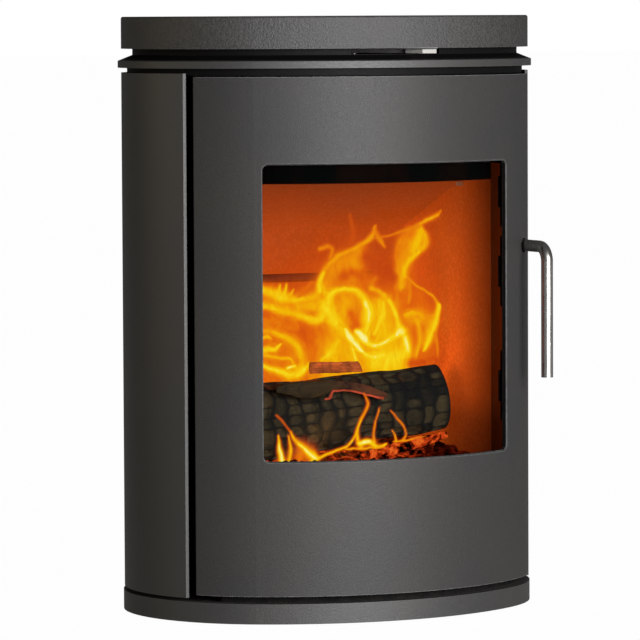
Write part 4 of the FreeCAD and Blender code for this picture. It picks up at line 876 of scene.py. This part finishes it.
# Flames are painted on a thin sheet of fine cells, stroke over stroke. A stroke is a line of pixels with
# its half widths, how far its heat and cover go from 0 to 1, and its depth.
flameStrokes = [
    # orange masses behind the rest
    (((350, 392), (352, 345), (352, 305), (350, 278)), (62, 58, 42, 20), 0.24, 0.85, 0.03),
    (((282, 392), (282, 350), (284, 322), (288, 306)), (36, 36, 32, 16), 0.26, 0.85, 0.024),
    (((402, 374), (402, 330), (401, 292), (404, 266), (413, 243)), (14, 19, 15, 12, 8), 0.28, 0.85, 0.0),
    (((422, 366), (424, 335), (424, 312), (419, 294)), (14, 15, 13, 7), 0.24, 0.75, -0.026),
    # upper body, with a dark red hollow beside it
    (((326, 288), (334, 270), (347, 261), (361, 253)), (9, 11, 10, 8), 0.42, 0.85, 0.02),
    (((350, 269), (358, 261)), (12, 9), 0.5, 0.85, 0.02),
    (((368, 258), (382, 266), (392, 276)), (7, 11, 8), 0.02, 0.22, 0.02),
    (((343, 277), (352, 272), (368, 278)), (6, 5, 6), 0.2, 0.75, 0.02),
    (((371, 284), (375, 279)), (4, 3), 0.36, 0.7, 0.02),
    # left: yellow sheets
    (((258, 290), (275, 294), (290, 299), (305, 300), (317, 294), (321, 284)),
     (7, 7, 7, 6, 6, 5), 0.62, 0.95, 0.012),
    (((262, 289), (277, 297), (291, 301), (303, 300)), (3, 5, 4, 2), 0.82, 0.97, 0.01),
    (((278, 294), (280, 285)), (3, 1), 0.74, 0.9, 0.01),
    (((285, 294), (286.5, 284)), (3, 1), 0.76, 0.9, 0.01),
    (((291, 295), (294, 289)), (2.5, 1), 0.66, 0.9, 0.01),
    (((300, 296), (306, 288), (313, 282)), (2.5, 3, 1.5), 0.3, 0.7, 0.014),
    (((258, 301), (280, 306), (303, 307), (322, 305)), (5, 5, 5, 6), 0.5, 0.96, 0.01),
    (((300, 308), (318, 306)), (5, 5), 0.6, 0.96, 0.01),
    (((258, 306), (275, 309), (291, 313), (306, 319), (315, 320), (323, 313)),
     (3, 4, 4, 5, 5, 5), 0.74, 0.97, 0.006),
    (((306, 319), (317, 320), (323, 316)), (3, 4, 3), 0.84, 0.97, 0.004),
    (((266, 322), (284, 323), (300, 329)), (7, 6, 5), 0.3, 0.93, 0.008),
    (((304, 331), (310, 345), (314, 358)), (8, 9, 9), 0.14, 0.93, 0.012),
    # left: the swirl
    (((272, 350), (284, 352), (290, 362)), (12, 13, 9), 0.34, 0.96, 0.0),
    (((258, 332), (272, 332), (284, 336), (294, 343), (300, 353), (302, 363), (298, 371)),
     (3, 4, 4, 5, 6, 6, 5), 0.58, 0.96, -0.006),
    (((274, 332), (287, 338), (296, 346), (300, 356)), (1.5, 2.4, 2.4, 2), 0.7, 0.97, -0.008),
    (((262, 339), (268, 337), (272, 339)), (2, 2, 1.2), 0.72, 0.95, -0.004),
    (((262, 351), (268, 349), (275, 349), (281, 344)), (3, 3.4, 2.6, 1.2), 0.84, 0.97, -0.006),
    (((262, 354), (276, 357), (290, 360), (293, 364)), (2.4, 2.2, 1.6, 1), 0.68, 0.97, -0.006),
    (((258, 377), (278, 381), (302, 384)), (5, 6, 7), 0.3, 0.96, -0.004),
    (((258, 363), (275, 370), (291, 375.5), (303, 371), (311, 364)),
     (3, 4, 4.6, 4.6, 2.4), 0.86, 0.98, -0.01),
    (((288, 369), (294, 367)), (1.8, 1.8), 0.98, 1.0, -0.01),
    # middle: the yellow fire
    (((330, 382), (334, 352), (337, 334), (332, 314), (329, 302)), (16, 20, 15, 10, 8), 0.62, 0.98, 0.014),
    (((384, 376), (385, 355), (384, 336), (382, 318), (380, 303)), (27, 25, 18, 15, 10), 0.7, 0.98, 0.01),
    (((346, 384), (352, 356)), (22, 13), 0.64, 0.98, 0.012),
    (((343, 312), (347, 303)), (15, 14), 0.57, 0.98, 0.012),
    (((358, 329), (355, 320), (351, 314)), (5, 5.5, 4), 0.2, 0.97, 0.012),
    (((366, 336), (374, 326), (377, 314)), (4, 4, 4), 0.64, 0.98, 0.01),
    (((377, 360), (391, 360), (402, 356)), (12, 14, 9), 0.8, 0.99, 0.006),
    (((403, 333), (408, 347), (408, 366)), (4.5, 4, 4), 0.9, 0.99, 0.002),
    (((336, 372), (348, 366), (362, 364)), (5, 5, 5), 0.56, 0.98, 0.008),
    (((322, 360), (331, 352), (338, 342)), (2.4, 3.4, 2), 0.8, 0.98, 0.006),
    # the ring
    (((321, 288), (322, 300), (326, 310), (333, 319), (341, 328), (350, 338)),
     (4, 6, 6, 6, 5, 3), 0.78, 0.98, 0.006),
    (((334, 322), (328, 310), (327, 300), (332, 293), (340, 289.5), (349, 289.5), (357, 292), (364, 299),
      (368, 308), (367.5, 318), (365, 329)),
     (3, 4.6, 5, 4.4, 3.4, 3, 3.4, 4.4, 5.6, 5.4, 4), 0.85, 0.99, 0.0),
    (((365, 303), (368, 311), (367, 319)), (2, 2.6, 2), 0.92, 1.0, -0.002),
    (((375, 333), (379, 323), (382.6, 314), (382.6, 302)), (1.8, 2, 2, 1.2), 0.84, 0.98, 0.004),
    (((402, 331), (398, 321), (393, 310), (388, 300), (384, 293)), (3, 2.6, 2.4, 2.2, 1), 0.86, 0.98, 0.0),
    (((371, 288), (379, 291), (386, 297)), (3, 3, 3), 0.62, 0.95, 0.006),
    (((357, 331), (363, 337), (369, 342), (378, 344.6), (388, 341), (397, 336), (402, 330)),
     (2.6, 4.6, 3.6, 2.4, 2.4, 3, 3.6), 0.92, 1.0, -0.004),
    (((359, 332), (365, 338)), (3, 3), 1.0, 1.0, -0.006),
    (((345.4, 328), (352, 339), (358, 347), (365, 353)), (1.6, 4.2, 4, 1), 1.0, 1.0, -0.006),
    (((351, 348), (354, 356), (356, 363)), (1.6, 1.8, 1), 0.86, 1.0, -0.004),
    (((364, 353), (374, 357), (384, 356)), (2, 3, 2), 0.9, 1.0, -0.002),
    # rising left edge and its wisps
    (((321, 297), (319, 284), (323, 273), (332, 261), (345, 252), (360, 246), (370, 239), (375, 226)),
     (4, 3.6, 3, 2.6, 2.4, 2.8, 3, 0.9), 0.55, 0.93, 0.008),
    (((319, 292), (319.5, 282), (324, 273)), (2, 2.4, 1.6), 0.78, 0.95, 0.006),
    (((320, 249), (327, 246.5), (332, 250), (329, 258)), (2.2, 2.6, 2.6, 1.6), 0.4, 0.75, 0.008),
    (((374, 230), (378, 238), (384, 246)), (2, 2.6, 1.2), 0.42, 0.75, 0.008),
    (((349, 216), (353, 233), (352, 241)), (1.5, 2.6, 3), 0.12, 0.35, 0.02),
    # tall right flame and the streak over it
    (((398, 270), (402, 254), (410, 240), (416, 229)), (5, 8, 10, 4), 0.46, 0.9, -0.012),
    (((400, 286), (402, 272), (408, 261), (417, 252), (425, 245), (426, 237), (420, 225)),
     (5, 4.4, 4.6, 5, 4.6, 4.4, 1.4), 0.6, 0.95, -0.014),
    (((397, 256), (402, 243), (411, 234)), (3, 4, 4), 0.34, 0.85, -0.01),
    (((413, 250), (418, 240), (419, 230)), (4, 5.6, 3), 0.76, 0.96, -0.016),
    (((404, 276), (404, 268), (410, 260), (420, 251)), (2, 1.8, 2, 1.6), 0.78, 0.96, -0.016),
    (((376, 238), (391, 235), (404, 231), (416, 225), (429, 219), (438, 214), (442, 208)),
     (1.2, 1.8, 2.4, 3.4, 4, 3.6, 1.6), 0.4, 0.75, -0.02),
    (((420, 223), (429, 219), (438, 214.5)), (1.4, 1.8, 1.4), 0.56, 0.9, -0.022),
    # thin right flame
    (((412, 318), (424, 318), (430, 326), (425, 342)), (7, 8, 6, 5), 0.52, 0.95, -0.03),
    (((406, 276), (415, 285), (426, 291), (434, 298), (439, 307)),
     (1.2, 1.6, 1.6, 1.8, 2.6), 0.52, 0.88, -0.03),
    (((408, 279), (409, 290), (408, 302)), (1.8, 2, 2), 0.42, 0.85, -0.02),
    (((439, 305), (437, 318), (433, 330), (428, 342), (424, 350)),
     (2.4, 4.6, 4, 3.4, 1.2), 0.82, 0.97, -0.032),
    (((406, 314.5), (413, 312.5), (421, 315)), (2.6, 3, 2), 0.64, 0.95, -0.028),
    (((417, 320), (420, 337), (417, 352), (415, 364)), (2.2, 2.6, 2, 1.6), 0.62, 0.93, -0.028),
    (((435, 333), (437, 345), (437.5, 358)), (1.4, 1.6, 1.2), 0.42, 0.88, -0.032),
    (((412, 363), (425, 362), (436, 361)), (6, 5, 5), 0.06, 0.85, -0.03),
]
frontStrokes = [
    # small flames on the embers in front of the log
    (((300, 458), (304, 451), (309, 456)), (8, 8, 6), 0.3, 0.85, 0),
    (((365, 394), (368.6, 402), (366, 411), (361, 421), (357.8, 431), (358.4, 439), (362, 446)),
     (0.6, 1.1, 1.3, 1.4, 1.7, 2.2, 2.6), 0.52, 0.95, 0),
    (((362, 420), (358, 430), (358, 439)), (0.5, 0.8, 1.1), 0.8, 0.95, 0),
    (((358, 430), (352, 441), (344, 448), (332, 452), (320, 457.5), (312, 461)),
     (1.1, 1.3, 1.5, 1.4, 1.7, 2), 0.74, 0.95, 0),
    (((379.5, 407), (378, 414), (375, 424), (373.7, 433), (375, 441)), (0.5, 0.8, 1, 1.2, 2), 0.52, 0.92, 0),
    (((391, 411), (396.7, 418.7), (403, 426), (406.3, 434), (404, 440)),
     (0.5, 0.9, 0.9, 0.9, 1.5), 0.52, 0.92, 0),
    (((391, 430), (394, 435), (396, 441)), (0.5, 0.8, 1.3), 0.7, 0.92, 0),
    (((276, 414.5), (282, 421), (288, 429), (292, 436)), (0.6, 0.8, 0.8, 1), 0.2, 0.75, 0),
    (((290, 431), (295, 440), (304, 448), (312, 454), (317, 459)), (0.9, 2.5, 3.3, 3.7, 3), 0.72, 0.96, 0),
    (((298, 444), (308, 452), (316, 459)), (0.9, 1.8, 1.9), 0.97, 1.0, 0),
    (((278.7, 436), (280, 448), (282, 463)), (0.9, 2.4, 3.4), 0.84, 0.97, 0),
    (((279.5, 445), (282, 463)), (0.9, 2.1), 1.0, 1.0, 0),
    (((287.6, 435), (289.5, 448), (288, 463)), (0.7, 1.9, 2.2), 0.74, 0.96, 0),
    (((360, 443), (369, 442), (378, 445.6), (386, 444)), (2.2, 3, 2.7, 1.2), 0.86, 0.98, 0),
    (((364, 442), (371, 441)), (1.8, 1.8), 1.0, 1.0, 0),
    (((346, 449), (366, 448), (384, 446)), (1.2, 1.5, 1.2), 0.6, 0.9, 0),
    (((393, 442), (404, 441), (416, 438.6), (426, 436)), (0.9, 1.1, 0.9, 0.5), 0.6, 0.85, 0),
]
flameSheets = {
    "cell": 1.15,
    "rearArea": (252, 203, 447, 394),
    "frontArea": (266, 390, 432, 470),
    "frontDepth": -0.0895,
    "firmness": 2.0,
    "ripple": 1.7,      # how far the strokes waver, in pixels
    "swell": 0.006,    # how far the sheet wavers in depth
    "thickness": 0.0012,
    "seed": 5,         # for the wavering strokes and the sticks' rough faces
}


def nearness(spots, line, halfWidths):
    # 1 on the stroke's line, about a third at its half width, and 0 well outside
    samples = 9 * (len(line) - 1) + 1
    shares = [number / (samples - 1) for number in range(samples)]
    points = numpy.array([tuple(smoothLine(line, share)) for share in shares])
    widths = [(half, 0) for half in halfWidths]
    halves = numpy.array([max(smoothLine(widths, share).x, 0.5) for share in shares])
    steps = numpy.diff(points, axis=0)
    offsets = spots[:, None] - points[None, :-1]
    along = numpy.clip((offsets * steps).sum(2) / (steps**2).sum(1), 0, 1)
    away = numpy.linalg.norm(offsets - along[..., None] * steps, axis=2)
    shareOfHalf = (away / (halves[:-1] + along * numpy.diff(halves))).min(1)
    return numpy.exp(-(shareOfHalf ** flameSheets["firmness"]))


def painted(spots, strokes):
    # Heat, cover and depth at each spot
    wavers = numpy.array([
        tuple(
            noise.noise_vector(Vector((x / 15, y / 27, 3)))
            + 0.45 * noise.noise_vector(Vector((x / 5, y / 9, 8)))
        )[:2]
        for x, y in spots
    ])
    wavered = spots + flameSheets["ripple"] * wavers
    fields = numpy.zeros((len(spots), 3))
    for line, halfWidths, *goal in strokes:
        margin = 2 * max(halfWidths) + 2
        low, high = (pick(numpy.array(line), axis=0) for pick in (numpy.min, numpy.max))
        near = numpy.all((wavered > low - margin) & (wavered < high + margin), axis=1)
        share = nearness(wavered[near], line, halfWidths)[:, None]
        fields[near] += (numpy.array(goal) - fields[near]) * share
    return fields


def flamePiece(name, area, strokes, finish, depth=0.0):
    left, top, right, bottom = area
    bm = bmesh.new()
    warmth, cover = (bm.verts.layers.float.new(layer) for layer in ("warmth", "cover"))
    bmesh.ops.create_grid(
        bm,
        x_segments=round((right - left) / flameSheets["cell"]),
        y_segments=round((bottom - top) / flameSheets["cell"]),
        size=0.5,
    )
    spots = numpy.array([
        (left + (corner.co.x + 0.5) * (right - left), bottom - (corner.co.y + 0.5) * (bottom - top))
        for corner in bm.verts
    ])
    for corner, spot, (glowLevel, share, nearer) in zip(bm.verts, spots, painted(spots, strokes)):
        swell = flameSheets["swell"] * noise.noise(Vector((*spot / 30, 5)))
        corner.co = photoPoint(*spot, depth + nearer + swell)
        corner[warmth] = glowLevel
        corner[cover] = share
    clear = [face for face in bm.faces if all(corner[cover] < 0.012 for corner in face.verts)]
    bmesh.ops.delete(bm, geom=clear, context="FACES")
    bmesh.ops.solidify(bm, geom=bm.faces[:], thickness=flameSheets["thickness"])
    bmesh.ops.recalc_face_normals(bm, faces=bm.faces)
    piece = addPiece(name, bm, [finish])
    piece.visible_shadow = False
    return piece


strandShape = {
    "sides": 12,
    "rings": 30,
    "thin": 0.5,       # thickness as a share of the width
    "pixel": 0.00103,  # one pixel on the fire, in metres
}


def addStrand(bm, line, widths, depth):
    # A closed tube along a line of pixels, with its own half widths
    halfWidths = [(width, 0) for width in widths]
    longTube(bm, strandShape["sides"], strandShape["rings"])
    placed = []
    for corner in bm.verts:
        share = corner.co.z + 0.5
        place = smoothLine(line, share)
        ahead, behind = smoothLine(line, min(share + 0.02, 1)), smoothLine(line, max(share - 0.02, 0))
        heading = (ahead - behind).normalized()
        half = max(smoothLine(halfWidths, share).x, 0.5)
        sideways = corner.co.x * half
        pixel = Vector((place.x - heading.y * sideways, place.y + heading.x * sideways))
        thick = corner.co.y * half * strandShape["pixel"] * strandShape["thin"]
        corner.co = photoPoint(pixel.x, pixel.y, depth + thick)
        placed.append((corner, pixel.x))
    return placed


# A split piece of wood lies on the front log, and its right part and lower edge glow. Behind the log
# guard lies a glowing branch. The glow starts and is full at the two pixels of hotFrom.
sticks = {
    "splinter": {
        "line": (
            (276, 390), (290, 389), (304, 390), (318, 389),
            (334, 385.5), (350, 386.5), (366, 390), (386, 396),
        ),
        "halfWidths": (3, 6.5, 9, 8, 4.6, 4.2, 4.6, 2.6),
        "depth": -0.083,
        "hotFrom": (326, 362),
        "hot": 0.12,
    },
    "splinter_glow": {
        "line": (
            (325, 399.5), (330, 398), (333, 391.5), (344, 390.4), (356, 391.6), (369, 395), (384, 398.5),
        ),
        "halfWidths": (1, 1.4, 1.1, 0.9, 0.9, 1, 1.1),
        "depth": -0.0865,
        "hotFrom": (0, 1),
        "hot": 1,
    },
    "ember_branch": {
        "line": ((362, 457), (380, 452), (398, 447.5), (414, 443), (430, 439), (447, 434)),
        "halfWidths": (3, 5, 5.6, 5.6, 5, 3),
        "depth": -0.084,
        "hotFrom": (0, 1),
        "hot": 0.8,
    },
}
stickSurface = {"proud": 0.9, "rough": 0.0009, "grain": 160}


def addStick(name, finish):
    stick = sticks[name]
    low, high = stick["hotFrom"]
    bm = bmesh.new()
    proud, hot = (bm.verts.layers.float.new(layer) for layer in ("proud", "hot"))
    for corner, across in addStrand(bm, stick["line"], stick["halfWidths"], stick["depth"]):
        corner[proud] = stickSurface["proud"]
        corner[hot] = stick["hot"] * min(max((across - low) / (high - low), 0), 1)
        corner.co += stickSurface["rough"] * noise.noise_vector(corner.co * stickSurface["grain"])
    bmesh.ops.recalc_face_normals(bm, faces=bm.faces)
    addPiece(name, bm, [finish])


def addFire():
    noise.seed_set(flameSheets["seed"])
    gas = flameGas("flameGas")
    coal = emberCoal("emberCoal")
    emberBed(coal)
    addCoals(coal)
    charredLog("log_front", frontLog, charredWood("charWood", char["faceColour"]))
    charredLog("log_back", backLog, charredWood("flameLitWood", char["flameLitColour"], char["flameLitGlow"]))
    flamePiece("flames", flameSheets["rearArea"], flameStrokes, gas)
    addStick("splinter", charredWood("splitWood", char["splitColour"]))
    addStick("splinter_glow", charredWood("glowingWood", char["glowingColour"]))
    addStick("ember_branch", coal)
    flamePiece("flames_front", flameSheets["frontArea"], frontStrokes, gas, flameSheets["frontDepth"])


addFire()
print("fire laid")

# Studio: one large soft lamp right of the camera, a weak one on the left, and an even world
studio = {
    "aim": (0, 0, 0.3),
    "room": 0.03,
    "shine": 0.08,
    "floorSize": 60,
    "floorColour": (0.24, 0.24, 0.235),
    "floorShare": 0.985,
    "floorShine": 0.2,
}
lamps = {
    "keyLamp": {
        "azimuth": 4, "elevation": 7, "distance": 2.6,
        "size": 1.2, "power": 118, "colour": (1, 1, 1),
    },
    "fillLamp": {
        "azimuth": -112, "elevation": 15, "distance": 3.0,
        "size": 1.4, "power": 12, "colour": (1, 0.86, 0.58),
    },
}
fireLamps = {
    "flameLight": {"place": (-0.03, 0.0, 0.26), "radius": 0.05, "power": 1.1, "colour": (1.0, 0.17, 0.015)},
    "emberLight": {"place": (0.085, -0.04, 0.23), "radius": 0.03, "power": 0.4, "colour": (1.0, 0.16, 0.012)},
    "frontLight": {"place": (-0.03, -0.088, 0.178), "radius": 0.008, "power": 0.05, "colour": (1, 0.5, 0.1)},
}


firebox = (
    "hearth_plate", "grate", "log_guard", "log_front", "log_back", "splinter", "lining_left", "lining_right",
    "ember_bed", "coals",
)
# The boards' glow is painted fire light; the embers, the sticks and the flames glow by their own heat.
glowing = (
    "lining_left", "lining_right", "lining_rear", "baffle",
    "ember_bed", "coals", "ember_branch", "splinter_glow", "flames", "flames_front",
)


def addLight(name, kind, lamp):
    light = bpy.data.lights.new(name, kind)
    light.energy = lamp["power"]
    light.color = lamp["colour"]
    return light, newObject(name, light)


def addLamps():
    aim = Vector(studio["aim"])
    for name, lamp in lamps.items():
        light, holder = addLight(name, "AREA", lamp)
        light.size = lamp["size"]
        turn, lift = math.radians(lamp["azimuth"]), math.radians(lamp["elevation"])
        way = Vector((math.sin(turn) * math.cos(lift), -math.cos(turn) * math.cos(lift), math.sin(lift)))
        holder.location = aim + way * lamp["distance"]
        holder.rotation_euler = way.to_track_quat("Z", "Y").to_euler()
    for name, lamp in fireLamps.items():
        light, holder = addLight(name, "POINT", lamp)
        light.shadow_soft_size = lamp["radius"]
        holder.location = lamp["place"]


def raysOf(tree):
    # 1 for what the camera sees, also through glass, and 1 for what a surface mirrors
    rays = addNode(tree, "LightPath")
    seen = sums(tree, "MAXIMUM", rays.outputs["Is Camera Ray"], rays.outputs["Is Transmission Ray"])
    return seen, rays.outputs["Is Glossy Ray"]


def addWorld():
    # White behind the stove and in its reflections, and an even grey light from all round
    world = bpy.data.worlds.new("studioWorld")
    bpy.context.scene.world = world
    world.use_nodes = True
    tree = world.node_tree
    back = tree.nodes["Background"]
    seen, mirrored = raysOf(tree)
    shone = remap(tree, mirrored, 0, 1, studio["room"], studio["shine"])
    plug(tree, (1, 1, 1, 1), back, "Color")
    plug(tree, sums(tree, "MAXIMUM", seen, shone), back, "Strength")


def addFloor():
    bm = bmesh.new()
    bmesh.ops.create_grid(bm, x_segments=8, y_segments=8, size=studio["floorSize"])
    mesh = bpy.data.meshes.new("studioFloor")
    bm.to_mesh(mesh)
    bm.free()
    finish, tree = newFinish("floorWhite", studio["floorColour"], 0.8, gloss=0.2)
    seen, mirrored = raysOf(tree)
    seen = times(tree, seen, studio["floorShare"])
    shone = times(tree, mirrored, studio["floorShine"])
    mixed = feed(tree, "MixShader", "Shader", {
        "Fac": sums(tree, "MAXIMUM", seen, shone),
        1: tree.nodes["Principled BSDF"].outputs["BSDF"],
        2: feed(tree, "Emission", "Emission", {}),
    })
    plug(tree, mixed, tree.nodes["Material Output"], "Surface")
    mesh.materials.append(finish)
    newObject("studioFloor", mesh)


def limitLight():
    # The fire lights only the firebox and its sides. The key lamp leaves out the glass, the band behind it
    # and what glows.
    lit = bpy.data.collections.new("litByFire")
    sources = [item for item in bpy.context.scene.objects if item.name in fireLamps or item.name in glowing]
    for item in bpy.context.scene.objects:
        if item.name in firebox:
            lit.objects.link(item)
    for source in sources:
        source.light_linking.receiver_collection = lit
    unlit = bpy.data.collections.new("unlitByKey")
    glowingItems = [bpy.data.objects[name] for name in glowing]
    for item in (nodes["door_glass"], nodes["airwash_deflector"], *glowingItems):
        unlit.objects.link(item)
    for member in unlit.collection_objects:
        member.light_linking.link_state = "EXCLUDE"
    bpy.data.objects["keyLamp"].light_linking.receiver_collection = unlit


addLamps()
limitLight()
addWorld()
addFloor()
bpy.context.scene.view_settings.view_transform = "Standard"
print("studio lit")
